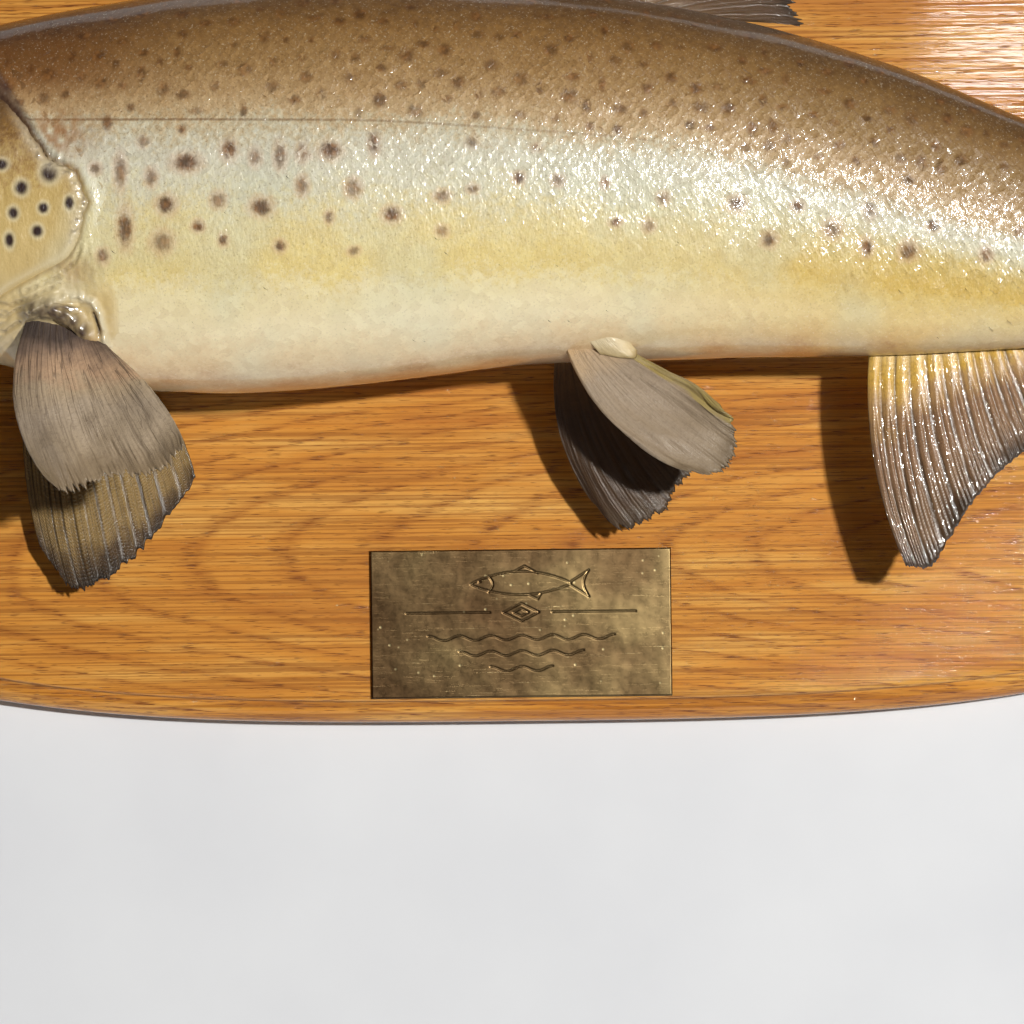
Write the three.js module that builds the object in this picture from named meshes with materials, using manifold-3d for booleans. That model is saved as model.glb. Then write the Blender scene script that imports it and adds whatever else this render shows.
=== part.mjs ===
// A cock brown trout, 70 cm long, mounted on a moulded oak board with a blank brass plate.
// Millimetres, +Z up. The origin is the centre of the board's back face, which lies on the wall at y = 0.
// The fish and the front of the board face -Y, the head points to -X and the tail to +X.
import * as THREE from "three";
import { mergeVertices } from "three/addons/utils/BufferGeometryUtils.js";
import Module from "manifold-3d";

const wasm = await Module();
wasm.setup();

// ---------------------------------------------------------------- driving dimensions
const GAP = 0.3; // the thin parting between neighbouring pieces

const BOARD = { halfWidth: 388, halfHeight: 203, thickness: 20, squareness: 3.2, facets: 64 };
// The routed edge, from the back round to the face: [inset from the outline, height above the wall].
const EDGE_MOULDING = [
  [1.5, 0],
  [0, 1.5],
  [0, 10],
  [3, 14],
  [5, 15.6],
  [8.4, 16.4],
  [10.2, 20],
];
const PLATE = { width: 126, height: 62, thickness: 1.5, bevel: 0.5, x: -1.8, z: -161.4 };
const HANGER = { width: 62, height: 12, thickness: 1.2, recess: 2.4, z: 150, teeth: 11, toothDepth: 2.6 };

const MID_PLANE = 46; // from the board's face to the middle plane of the body
const HEAD_SWING = 8; // how much further out the snout is
const TAIL_SWING = 14; // how much further out the root of the tail is
// Body profile: [x, top, bottom, half width], from the snout to the root of the tail.
const PROFILE = [
  [-331, 34, 1, 16],
  [-309, 46, -12.5, 21.5],
  [-284, 58.5, -24.5, 27],
  [-254, 71.5, -36.5, 33],
  [-222, 82.6, -49.5, 38],
  [-171, 93, -62, 43.5],
  [-120, 99.5, -65.2, 47.5],
  [-68, 103, -62.8, 49],
  [-4, 98.8, -55.4, 47.5],
  [50, 92.6, -54.4, 44],
  [100, 81.3, -53, 38],
  [150, 65.3, -53.2, 31],
  [205, 42.2, -51, 23.5],
  [245, 24.5, -48.5, 17.5],
  [280, 12.5, -50, 12],
  [316, 9, -57, 5.5],
];
const SNOUT = { x: -331, z: 17, roundness: 18 };
const TAIL_ROOT_X = 316;
const WIDEST_AT = 0.5; // share of the depth, up from the belly, where the body is widest
const UPPER_EXPONENT = 2.0; // 2 is an ellipse, more is squarer
const LOWER_EXPONENT = 2.25;

const HEAD_END = -171;
const TRUNK_CUTS = [-60, 70, 205]; // stations where the trunk is parted
const AROUND = 28; // facets round the body

const EYE = { x: -284, z: 35, radius: 9.5, flatness: 0.55, proud: 2.6 };
const KYPE = { x: -328, z: 9, length: 6.5, width: 8, height: 12 }; // the hook of the lower jaw
const MOUTH_LINE = [
  [-350, 8],
  [-323, 10],
  [-308, 8],
  [-287, 3],
  [-267, -3],
  [-250, -9],
  [-238, -15],
];
const JAW_REAR = [
  [-230, -30],
  [-228, -70],
];
const MAXILLA = {
  proud: 1.3,
  depth: 1.8,
  outline: [
    [-312, 15],
    [-292, 13.5],
    [-267, 8],
    [-246, 0],
    [-234, -8],
    [-233, -15],
    [-239, -13],
    [-251, -7],
    [-268, -1],
    [-288, 5],
    [-309, 10],
  ],
};
const GILL_COVER = {
  proud: 1.6,
  depth: 3.5,
  outline: [
    [-221, 60],
    [-206, 58],
    [-190, 41],
    [-177.5, 24],
    [-171.6, 11],
    [-174.5, -8],
    [-186, -23],
    [-205, -37],
    [-226, -44],
    [-233, -36],
    [-226, -18],
    [-222, 8],
    [-223, 36],
  ],
};

// Each fin is a fan of rays, [root x, root z, tip x, tip z, bow]. A bow bends its ray in the plane of
// the fin, cup bends the fan out of that plane, frontY is how far the fan stands in front of the
// board's face at its root and at its tip, and thickness is given at the root and at the rim.
const FINS = {
  dorsal_fin: {
    rays: [
      [-30, 94, 30, 150, -7],
      [-10, 92, 58, 143, -6],
      [12, 90, 86, 126, -4],
      [34, 88, 103, 108, -3],
      [54, 86, 111, 93, -2],
      [68, 84, 116, 81.5, -1],
    ],
    frontY: [46, 46],
    cup: 2,
    thickness: [3.4, 1],
    split: [12, 5],
  },
  adipose_fin: {
    rays: [
      [213, 32, 234, 45, -3],
      [218, 30, 242, 44, -2],
      [223, 28, 245, 36, 0],
      [228, 26, 241, 29, 1],
    ],
    frontY: [50, 52],
    cup: 0,
    thickness: [6, 2],
    split: [5, 3],
  },
  anal_fin: {
    rays: [
      [141, -48, 155, -139, 6],
      [153, -48, 166, -138, 5],
      [166, -47, 180, -116, 3],
      [180, -47, 194, -100, 2],
      [193, -46, 209, -90, 1],
      [207, -45, 228, -82, 0],
    ],
    frontY: [47, 48],
    cup: 2,
    thickness: [4, 1],
    split: [12, 5],
  },
  pectoral_fin_left: {
    rays: [
      [-194, -30, -184, -102, 11],
      [-187, -27, -175, -104, 8],
      [-180, -29, -161, -100, 4],
      [-173, -34, -145, -98, 0],
      [-166, -42, -130.5, -89, -3],
    ],
    frontY: [78, 116],
    cup: -4,
    thickness: [5, 1],
    split: [10, 5],
  },
  pectoral_fin_right: {
    rays: [
      [-203, -38, -201, -128, 6],
      [-196, -36, -188, -144, 5],
      [-188, -38, -173, -141, 2],
      [-180, -42, -156, -126, -2],
      [-170, -47, -136, -100, -6],
    ],
    frontY: [13, 18],
    cup: 3,
    thickness: [5, 1],
    split: [10, 5],
  },
  pelvic_fin_left: {
    rays: [
      [16, -46, 64, -100, 8],
      [20, -46, 74, -101, 5],
      [25, -46, 83, -96, 1],
      [30, -46, 84.5, -84, -1],
      [36, -46, 78, -74, -1],
    ],
    frontY: [62, 78],
    cup: -2,
    thickness: [4.4, 1],
    split: [10, 5],
  },
  pelvic_fin_right: {
    rays: [
      [14, -47, 26, -108, 6],
      [17, -47, 40, -123, 8],
      [21, -47, 55, -117, 5],
      [27, -47, 67, -102, 2],
      [34, -47, 80, -86, 0],
    ],
    frontY: [32, 24],
    cup: 3,
    thickness: [4.4, 1],
    split: [10, 5],
  },
  pelvic_process_left: {
    rays: [
      [24, -40, 33, -50.5, 0],
      [29, -39, 44, -52, 0],
      [34, -39, 45, -49, 0],
    ],
    frontY: [66, 70],
    cup: 1,
    thickness: [3, 1.2],
    split: [4, 3],
  },
  pelvic_process_right: {
    rays: [
      [24, -40, 33, -50.5, 0],
      [29, -39, 44, -52, 0],
      [34, -39, 45, -49, 0],
    ],
    frontY: [26, 22],
    cup: -1,
    thickness: [3, 1.2],
    split: [4, 3],
  },
};
const CAUDAL = {
  rootX: 316.3,
  rootZ: -24,
  rootHalf: 32.5,
  reach: 54, // from the root to the shallow notch in the middle
  tipReach: 11, // how much further the two tips go
  tipZ: -29,
  tipHalf: 79,
  flare: 0.55, // how early the outer rays spread
  droop: 0.1,
  thickness: [10.5, 1],
  split: [14, 5],
};

// ---------------------------------------------------------------- curves and sections
// A smooth curve through rows of numbers: cubic pieces whose slope at a row is that of its neighbours.
function through(rows, column) {
  const last = rows.length - 1;
  const slope = (i) => {
    const a = rows[Math.max(0, i - 1)];
    const b = rows[Math.min(last, i + 1)];
    return (b[column] - a[column]) / (b[0] - a[0]);
  };
  return (x) => {
    let i = 0;
    while (i < last - 1 && x > rows[i + 1][0]) i += 1;
    const width = rows[i + 1][0] - rows[i][0];
    const t = THREE.MathUtils.clamp((x - rows[i][0]) / width, 0, 1);
    const rise = t * t * (3 - 2 * t);
    const start = rows[i][column] * (1 - rise) + rows[i + 1][column] * rise;
    return start + width * (slope(i) * t * (1 - t) ** 2 - slope(i + 1) * t * t * (1 - t));
  };
}

const topAt = through(PROFILE, 1);
const bottomAt = through(PROFILE, 2);
const halfWidthAt = through(PROFILE, 3);

// The middle plane of the body swings away from the board towards the snout and the tail.
function middleY(x) {
  const towardsHead = THREE.MathUtils.clamp(-x / -SNOUT.x, 0, 1);
  const towardsTail = THREE.MathUtils.clamp(x / TAIL_ROOT_X, 0, 1);
  const swing = HEAD_SWING * towardsHead ** 2 + TAIL_SWING * towardsTail ** 2;
  return -(BOARD.thickness + MID_PLANE + swing);
}

// The section of the body at x, grown outwards by `grow`.
function section(x, grow) {
  const into = THREE.MathUtils.clamp((x - SNOUT.x) / SNOUT.roundness, 0, 1);
  const rounding = Math.sqrt(Math.max(0, 1 - (1 - into) ** 2));
  const top = SNOUT.z + (topAt(x) - SNOUT.z) * rounding + grow;
  const bottom = SNOUT.z + (bottomAt(x) - SNOUT.z) * rounding - grow;
  const halfWidth = halfWidthAt(x) * rounding + grow;
  return { top, bottom, halfWidth, widestZ: bottom + (top - bottom) * WIDEST_AT };
}

const signedPower = (value, power) => Math.sign(value) * Math.abs(value) ** power;

// A point of the body: angle 0 is the ridge of the back, a quarter turn is the flank that faces away
// from the board, and reach goes from 0 at the core to 1 at the skin.
function bodyPoint(x, angle, reach, grow) {
  const s = section(x, grow);
  const up = Math.cos(angle);
  const out = Math.sin(angle);
  const exponent = up > 0 ? UPPER_EXPONENT : LOWER_EXPONENT;
  const height = up > 0 ? s.top - s.widestZ : s.widestZ - s.bottom;
  const z = s.widestZ + reach * height * signedPower(up, 2 / exponent);
  const y = middleY(x) - reach * s.halfWidth * signedPower(out, 2 / exponent);
  const nearestY = -(BOARD.thickness + GAP); // the far flank is flattened where it meets the board
  return new THREE.Vector3(x, Math.min(y, nearestY), z);
}

// How far the flank is from the middle plane at a point of the side view.
function flankWidth(x, z) {
  const s = section(x, 0);
  const upper = z > s.widestZ;
  const exponent = upper ? UPPER_EXPONENT : LOWER_EXPONENT;
  const share = upper ? (z - s.widestZ) / (s.top - s.widestZ) : (s.widestZ - z) / (s.widestZ - s.bottom);
  return s.halfWidth * Math.max(0, 1 - Math.min(1, share) ** exponent) ** (1 / exponent);
}

// ---------------------------------------------------------------- solids
function signedVolume(position, index) {
  const a = new THREE.Vector3();
  const b = new THREE.Vector3();
  const c = new THREE.Vector3();
  let volume = 0;
  for (let i = 0; i < index.length; i += 3) {
    a.fromBufferAttribute(position, index[i]);
    b.fromBufferAttribute(position, index[i + 1]);
    c.fromBufferAttribute(position, index[i + 2]);
    volume += a.dot(b.cross(c)) / 6;
  }
  return volume;
}

// A closed three.js geometry as a solid that faces outwards.
function solid(geometry) {
  const bare = geometry.clone();
  bare.deleteAttribute("normal");
  bare.deleteAttribute("uv");
  const merged = mergeVertices(bare, 1e-4);
  const triVerts = [];
  const index = merged.index.array;
  for (let i = 0; i < index.length; i += 3) {
    const [a, b, c] = [index[i], index[i + 1], index[i + 2]];
    if (a !== b && b !== c && c !== a) triVerts.push(a, b, c);
  }
  if (signedVolume(merged.attributes.position, triVerts) < 0) triVerts.reverse();
  const vertProperties = new Float32Array(merged.attributes.position.array);
  return new wasm.Manifold(new wasm.Mesh({ numProp: 3, vertProperties, triVerts: new Uint32Array(triVerts) }));
}

// Every vertex of a geometry moved to where `place` puts it.
function reshape(geometry, place) {
  const position = geometry.attributes.position;
  const v = new THREE.Vector3();
  for (let i = 0; i < position.count; i += 1) {
    v.fromBufferAttribute(position, i);
    const p = place(v);
    position.setXYZ(i, p.x, p.y, p.z);
  }
  return geometry;
}

// A length of the body: a capped cylinder whose rings become sections. `ease` above 1 crowds the
// rings towards the start.
function bodyLength(from, to, rings, grow = 0, ease = 1, around = AROUND) {
  const rod = new THREE.CylinderGeometry(1, 1, 1, around, rings);
  return solid(
    reshape(rod, (v) => {
      const x = from + (to - from) * (v.y + 0.5) ** ease;
      return bodyPoint(x, Math.atan2(v.x, v.z), Math.hypot(v.x, v.z), grow);
    }),
  );
}

// A prism with the given outline in the side view, between two values of y.
function sideCutter(outline, yFrom, yTo, smooth) {
  const points = outline.map(([x, z]) => new THREE.Vector2(x, z));
  const shape = smooth
    ? new THREE.Shape(new THREE.SplineCurve([...points, points[0]]).getPoints(points.length * 1.5))
    : new THREE.Shape(points);
  const slab = new THREE.ExtrudeGeometry(shape, { depth: yTo - yFrom, bevelEnabled: false, steps: 1 });
  return solid(reshape(slab, (v) => new THREE.Vector3(v.x, yFrom + v.z, v.y)));
}

// An outline pushed out by `by` along the bisector of each corner.
function grownOutline(outline, by) {
  const n = outline.length;
  const area = outline.reduce((sum, [x, z], i) => {
    const [nx, nz] = outline[(i + 1) % n];
    return sum + x * nz - nx * z;
  }, 0);
  return outline.map(([x, z], i) => {
    const before = outline[(i + n - 1) % n];
    const after = outline[(i + 1) % n];
    const along = new THREE.Vector2(after[0] - before[0], after[1] - before[1]).normalize();
    const turn = Math.sign(area);
    return [x + along.y * by * turn, z - along.x * by * turn];
  });
}

function finPoint(fin, u, v) {
  const rows = fin.rays.map((ray, i) => [i / (fin.rays.length - 1), ...ray]);
  const [rootX, rootZ, tipX, tipZ, bow] = [1, 2, 3, 4, 5].map((column) => through(rows, column)(u));
  const long = Math.hypot(tipX - rootX, tipZ - rootZ);
  const bend = bow * 4 * v * (1 - v);
  const x = rootX + (tipX - rootX) * v + ((tipZ - rootZ) / long) * bend;
  const z = rootZ + (tipZ - rootZ) * v - ((tipX - rootX) / long) * bend;
  const front = THREE.MathUtils.lerp(fin.frontY[0], fin.frontY[1], v);
  const cupped = fin.cup * v * Math.cos((u - 0.5) * 2 * Math.PI);
  return new THREE.Vector3(x, -(BOARD.thickness + front + cupped), z);
}

function caudalPoint(u, v) {
  const side = 2 * u - 1;
  const spread = v * (1 - CAUDAL.flare) + CAUDAL.flare * Math.sin((v * Math.PI) / 2);
  const reach = CAUDAL.reach + CAUDAL.tipReach * Math.abs(side) ** 1.6;
  const x = CAUDAL.rootX + reach * v;
  const half = CAUDAL.rootHalf + (CAUDAL.tipHalf - CAUDAL.rootHalf) * spread;
  const z = THREE.MathUtils.lerp(CAUDAL.rootZ, CAUDAL.tipZ, v) + side * half;
  return new THREE.Vector3(x, middleY(TAIL_ROOT_X) - CAUDAL.droop * reach * v, z);
}

// A blade with thickness, from a surface of two parameters: u across the rays, v out along them.
function blade(surface, thickness, split) {
  const step = 1e-3;
  const box = new THREE.BoxGeometry(1, 1, 1, split[0], split[1], 1);
  return reshape(box, (c) => {
    const u = c.x + 0.5;
    const v = c.y + 0.5;
    const at = surface(u, v);
    const du = surface(u + step, v).sub(surface(u - step, v));
    const dv = surface(u, v + step).sub(surface(u, v - step));
    const normal = du.cross(dv).normalize();
    const thick = THREE.MathUtils.lerp(thickness[0], thickness[1], Math.sqrt(THREE.MathUtils.clamp(v, 0, 1)));
    return at.addScaledVector(normal, c.z * thick);
  });
}

// ---------------------------------------------------------------- the body and what is parted from it
const wholeBody = bodyLength(SNOUT.x + 0.05, TAIL_ROOT_X, 48, GAP, 1.15);
const fullHead = bodyLength(SNOUT.x + 0.05, HEAD_END, 14, 0, 1.4);
const farOut = -(BOARD.thickness + 2 * MID_PLANE + 60);

// A thin plate of the head's own surface, on one side, and the pocket that it lies in.
function headPlate(spec, side) {
  const middle = middleY(HEAD_END) - 2;
  const reachY = side === "left" ? [farOut, middle - 8] : [middle + 14, 0];
  const outer = bodyLength(SNOUT.x + 0.05, HEAD_END, 14, spec.proud, 1.4);
  const core = bodyLength(SNOUT.x + 8, HEAD_END + 5, 14, -spec.depth, 1.2);
  const deepCore = bodyLength(SNOUT.x + 8, HEAD_END + 5, 14, -spec.depth - GAP, 1.2);
  const cutter = sideCutter(spec.outline, ...reachY, true);
  const pocket = sideCutter(grownOutline(spec.outline, GAP), ...reachY, true);
  return { plate: outer.intersect(cutter).subtract(core), pocket: pocket.subtract(deepCore) };
}

// A flattened ball that lies square to the skin at the eye and stands a little proud of it.
function eyeball(side, grow) {
  const out = side === "left" ? -1 : 1;
  const step = 0.5;
  const alongX = (flankWidth(EYE.x + step, EYE.z) - flankWidth(EYE.x - step, EYE.z)) / (2 * step);
  const alongZ = (flankWidth(EYE.x, EYE.z + step) - flankWidth(EYE.x, EYE.z - step)) / (2 * step);
  const swing = (middleY(EYE.x + step) - middleY(EYE.x - step)) / (2 * step);
  const facing = new THREE.Vector3(-alongX - out * swing, out, -alongZ).normalize();
  const skin = new THREE.Vector3(EYE.x, middleY(EYE.x) + out * flankWidth(EYE.x, EYE.z), EYE.z);
  const halfDepth = EYE.radius * EYE.flatness;
  const ball = new THREE.SphereGeometry(EYE.radius + grow, 14, 8);
  ball.scale(1, (halfDepth + grow) / (EYE.radius + grow), 1);
  ball.applyQuaternion(new THREE.Quaternion().setFromUnitVectors(new THREE.Vector3(0, 1, 0), facing));
  const centre = skin.addScaledVector(facing, EYE.proud - halfDepth);
  ball.translate(centre.x, centre.y, centre.z);
  return solid(ball);
}

function kype(grow) {
  const knob = new THREE.SphereGeometry(1, 12, 8);
  knob.scale(KYPE.length + grow, KYPE.width + grow, KYPE.height + grow);
  knob.translate(KYPE.x, middleY(KYPE.x), KYPE.z);
  return solid(knob);
}

const jawOutline = [...MOUTH_LINE, ...JAW_REAR, [-350, -70]];
const jawRoof = [...MOUTH_LINE.map(([x, z]) => [x, z + GAP]), ...JAW_REAR.map(([x, z]) => [x + GAP, z]), [-350, -70]];

const parts = new Map();
let head = fullHead;
let lowerJaw = fullHead.intersect(sideCutter(jawOutline, farOut, 0, false)).add(kype(0));
head = head.subtract(sideCutter(jawRoof, farOut, 0, false)).subtract(kype(GAP));
for (const side of ["left", "right"]) {
  const cover = headPlate(GILL_COVER, side);
  const maxilla = headPlate(MAXILLA, side);
  parts.set(`operculum_${side}`, cover.plate);
  parts.set(`maxilla_${side}`, maxilla.plate.subtract(sideCutter(jawRoof, farOut, 0, false)));
  parts.set(`eye_${side}`, eyeball(side, 0));
  head = head.subtract(cover.pocket).subtract(maxilla.pocket).subtract(eyeball(side, GAP));
  lowerJaw = lowerJaw.subtract(cover.pocket);
}
parts.set("head", head);
parts.set("lower_jaw", lowerJaw);

const cuts = [HEAD_END, ...TRUNK_CUTS, TAIL_ROOT_X];
const trunkNames = ["trunk_front", "trunk_middle", "trunk_rear", "tail_stalk"];
trunkNames.forEach((name, i) => {
  const rings = Math.round((cuts[i + 1] - cuts[i]) / 18);
  parts.set(name, bodyLength(cuts[i] + GAP, cuts[i + 1], rings));
});

for (const [name, fin] of Object.entries(FINS)) {
  const surface = (u, v) => finPoint(fin, u, v);
  parts.set(name, solid(blade(surface, fin.thickness, fin.split)).subtract(wholeBody));
}
parts.set("caudal_fin", solid(blade(caudalPoint, CAUDAL.thickness, CAUDAL.split)).subtract(wholeBody));

// ---------------------------------------------------------------- the board, its plate and its hanger
function boardSolid() {
  const radius = BOARD.halfHeight;
  const profile = EDGE_MOULDING.map(([inset, height]) => new THREE.Vector2(radius - inset, height));
  const rim = [new THREE.Vector2(0, 0), ...profile, new THREE.Vector2(0, BOARD.thickness)];
  const turned = new THREE.LatheGeometry(rim, BOARD.facets);
  const power = 2 / BOARD.squareness;
  return solid(
    reshape(turned, (v) => {
      const r = Math.hypot(v.x, v.z);
      if (r < 1e-6) return new THREE.Vector3(0, -v.y, 0);
      const inset = radius - r;
      const across = signedPower(v.x / r, power) * (BOARD.halfWidth - inset);
      const up = signedPower(v.z / r, power) * (BOARD.halfHeight - inset);
      return new THREE.Vector3(across, -v.y, up);
    }),
  );
}

function box(width, depth, height, x, y, z) {
  const geometry = new THREE.BoxGeometry(width, depth, height);
  geometry.translate(x, y, z);
  return geometry;
}

const recess = box(HANGER.width + 6, HANGER.recess * 2, HANGER.height + 6, 0, 0, HANGER.z);
parts.set("board", boardSolid().subtract(solid(recess)));

function nameplateGeometry() {
  const { width, height, thickness, bevel } = PLATE;
  const shape = new THREE.Shape([
    new THREE.Vector2(-width / 2 + bevel, -height / 2 + bevel),
    new THREE.Vector2(width / 2 - bevel, -height / 2 + bevel),
    new THREE.Vector2(width / 2 - bevel, height / 2 - bevel),
    new THREE.Vector2(-width / 2 + bevel, height / 2 - bevel),
  ]);
  const plate = new THREE.ExtrudeGeometry(shape, {
    depth: thickness - 2 * bevel,
    bevelThickness: bevel,
    bevelSize: bevel,
    bevelSegments: 1,
  });
  plate.rotateX(Math.PI / 2);
  plate.translate(PLATE.x, -(BOARD.thickness + GAP + bevel), PLATE.z);
  return plate;
}
parts.set("nameplate", solid(nameplateGeometry()));

// A strip with saw teeth along its lower edge, which catches a nail in the wall.
function hangerGeometry() {
  const { width, height, thickness, recess: depth, teeth, toothDepth } = HANGER;
  const outline = [new THREE.Vector2(-width / 2, height / 2), new THREE.Vector2(-width / 2, -height / 2)];
  const pitch = (width - 20) / teeth;
  for (let i = 0; i <= teeth; i += 1) {
    const x = -width / 2 + 10 + i * pitch;
    outline.push(new THREE.Vector2(x, -height / 2));
    if (i < teeth) outline.push(new THREE.Vector2(x + pitch / 2, -height / 2 + toothDepth));
  }
  outline.push(new THREE.Vector2(width / 2, -height / 2), new THREE.Vector2(width / 2, height / 2));
  const strip = new THREE.ExtrudeGeometry(new THREE.Shape(outline), { depth: thickness, bevelEnabled: false });
  strip.rotateX(Math.PI / 2);
  strip.translate(0, -(depth - GAP - thickness), HANGER.z);
  return strip;
}
parts.set("hanger", solid(hangerGeometry()));

// ---------------------------------------------------------------- materials and the finished group
const FINISH = {
  oak: new THREE.MeshStandardMaterial({ color: 0xc98a3c, roughness: 0.22, metalness: 0 }),
  brass: new THREE.MeshStandardMaterial({ color: 0x96804f, roughness: 0.35, metalness: 1 }),
  steel: new THREE.MeshStandardMaterial({ color: 0x9a9a96, roughness: 0.4, metalness: 1 }),
  skin: new THREE.MeshStandardMaterial({ color: 0xc9b98a, roughness: 0.25, metalness: 0 }),
  gillCover: new THREE.MeshStandardMaterial({ color: 0xd9bd6b, roughness: 0.2, metalness: 0 }),
  fin: new THREE.MeshStandardMaterial({ color: 0x8c7a66, roughness: 0.3, metalness: 0 }),
  eye: new THREE.MeshStandardMaterial({ color: 0x2a2118, roughness: 0.05, metalness: 0 }),
};

function finishFor(name) {
  if (name === "board") return FINISH.oak;
  if (name === "nameplate") return FINISH.brass;
  if (name === "hanger") return FINISH.steel;
  if (name.startsWith("eye_")) return FINISH.eye;
  if (name.startsWith("operculum_") || name.startsWith("maxilla_")) return FINISH.gillCover;
  if (name.includes("_fin") || name.startsWith("pelvic_process")) return FINISH.fin;
  return FINISH.skin;
}

function meshOf(name, manifold) {
  const made = manifold.getMesh();
  const geometry = new THREE.BufferGeometry();
  geometry.setAttribute("position", new THREE.BufferAttribute(new Float32Array(made.vertProperties), 3));
  geometry.setIndex(new THREE.BufferAttribute(new Uint32Array(made.triVerts), 1));
  geometry.computeVertexNormals();
  const mesh = new THREE.Mesh(geometry, finishFor(name));
  mesh.name = name;
  return mesh;
}

const mount = new THREE.Group();
for (const [name, manifold] of parts) mount.add(meshOf(name, manifold));

export default mount;
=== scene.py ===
# %% [markdown]
# # A cock brown trout on its oak board
#
# A trophy fish is half sculpture and half painting. A taxidermist stretches the real skin over a
# carved body, dries the fins, paints the faded colours back and floods the whole with gloss lacquer.
# This lesson does the same in Blender: it builds a body from sections, lays scales on it one by one,
# fans out the fins, and paints everything with procedural materials.
#
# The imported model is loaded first. It is the fixed frame: every size and place comes from it, and
# each piece made here stands for one or more of its plain solids.

# %% Load the fixed frame
import math
from functools import partial

import bmesh
import bpy
import numpy as np
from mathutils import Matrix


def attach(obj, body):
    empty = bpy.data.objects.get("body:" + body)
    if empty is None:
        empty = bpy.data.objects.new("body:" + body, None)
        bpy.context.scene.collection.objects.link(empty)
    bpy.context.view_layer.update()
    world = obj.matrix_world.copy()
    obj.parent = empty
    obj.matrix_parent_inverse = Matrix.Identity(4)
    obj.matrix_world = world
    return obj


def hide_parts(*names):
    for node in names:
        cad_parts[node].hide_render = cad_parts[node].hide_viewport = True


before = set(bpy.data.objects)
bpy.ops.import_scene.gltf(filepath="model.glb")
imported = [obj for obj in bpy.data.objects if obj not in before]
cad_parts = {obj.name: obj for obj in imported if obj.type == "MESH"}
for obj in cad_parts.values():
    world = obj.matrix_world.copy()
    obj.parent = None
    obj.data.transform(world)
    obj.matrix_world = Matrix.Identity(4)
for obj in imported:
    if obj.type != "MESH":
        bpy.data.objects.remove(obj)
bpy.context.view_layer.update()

MM = 0.001  # all sizes below are in millimetres, and Blender counts in metres

# %% [markdown]
# ## Helpers
#
# Everything here is a surface of two parameters, so three small tools do most of the work. One turns
# arrays of points and faces into a mesh. One lists the four-cornered faces of a grid. One makes a
# smooth curve through a few rows of numbers, which is how a boat builder fairs a hull.

# %% Arrays into meshes
def make_mesh(name, points, face_sets, finish, uv=None, uv_name="Surface", marks=None, merge=False):
    """A mesh object from whole arrays: points in mm, each face set an array of corner numbers."""
    mesh = bpy.data.meshes.new(name)
    corners = np.concatenate([faces.ravel() for faces in face_sets]).astype(np.int32)
    sizes = np.concatenate([np.full(len(faces), faces.shape[1]) for faces in face_sets])
    starts = np.concatenate([[0], np.cumsum(sizes)[:-1]]).astype(np.int32)
    mesh.vertices.add(len(points))
    mesh.vertices.foreach_set("co", (points * MM).astype(np.float32).ravel())
    mesh.loops.add(len(corners))
    mesh.loops.foreach_set("vertex_index", corners)
    mesh.polygons.add(len(sizes))
    mesh.polygons.foreach_set("loop_start", starts)
    mesh.update(calc_edges=True)
    mesh.shade_smooth()
    if uv is not None:
        layer = mesh.uv_layers.new(name=uv_name)
        layer.data.foreach_set("uv", uv[corners].astype(np.float32).ravel())
    for mark, values in (marks or {}).items():
        attribute = mesh.attributes.new(mark, "FLOAT", "POINT")
        attribute.data.foreach_set("value", values.astype(np.float32).ravel())
    if merge:
        sheet = bmesh.new()
        sheet.from_mesh(mesh)
        bmesh.ops.remove_doubles(sheet, verts=sheet.verts, dist=2e-6)
        bmesh.ops.dissolve_degenerate(sheet, edges=sheet.edges, dist=1e-7)
        sheet.to_mesh(mesh)
        sheet.free()
    mesh.materials.append(finish)
    piece = bpy.data.objects.new(name, mesh)
    bpy.context.scene.collection.objects.link(piece)
    return piece


def grid_faces(rows, columns, wrap=False, flip=False):
    """Quads of a grid whose point (r, c) is number r * columns + c; wrap joins last column and first."""
    r, c = np.meshgrid(np.arange(rows - 1), np.arange(columns if wrap else columns - 1), indexing="ij")
    after = (c + 1) % columns
    quads = np.stack(
        [r * columns + c, r * columns + after, (r + 1) * columns + after, (r + 1) * columns + c], -1
    )
    quads = quads.reshape(-1, 4)
    return quads[:, ::-1] if flip else quads


def settle(piece, slot, *nodes):
    """Rides the piece on the mount and hides the plain solids it stands for; the slot is not used."""
    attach(piece, "root")
    if nodes:
        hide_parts(*nodes)
    piece.data.calc_loop_triangles()
    print(f"{piece.name}: {len(piece.data.loop_triangles)} triangles")
    return piece


# %% Curves and falloffs
def through(rows, column):
    """Smooth curve through rows of numbers, level past its ends.

    Between two rows it is a cubic, whose slope at a row is that of the line between the row's neighbours."""
    rows = np.asarray(rows, float)
    at, value = rows[:, 0], rows[:, column]
    last = len(rows) - 1
    before = np.maximum(np.arange(last + 1) - 1, 0)
    after = np.minimum(np.arange(last + 1) + 1, last)
    slope = (value[after] - value[before]) / (at[after] - at[before])

    def curve(x):
        i = np.clip(np.searchsorted(at, x, side="left") - 1, 0, last - 1)
        width = at[i + 1] - at[i]
        t = np.clip((x - at[i]) / width, 0, 1)
        rise = t * t * (3 - 2 * t)
        ends = value[i] * (1 - rise) + value[i + 1] * rise
        return ends + width * (slope[i] * t * (1 - t) ** 2 - slope[i + 1] * t * t * (1 - t))

    return curve


def lines_at(x, rows):
    """Straight lines between rows of (x, value)."""
    at, value = np.array(rows, float).T
    return np.interp(x, at, value)


def signed_power(value, power):
    """The power of the size of a number, with the number's own sign."""
    return np.sign(value) * np.abs(value) ** power


def ease(low, high, value):
    """0 below low, 1 above high and an S-shaped rise between."""
    t = np.clip((value - low) / (high - low), 0, 1)
    return t * t * (3 - 2 * t)


def bump(distance, width):
    """1 where the distance is 0, falling off like a bell as wide as `width`."""
    return np.exp(-((distance / width) ** 2))


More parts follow.
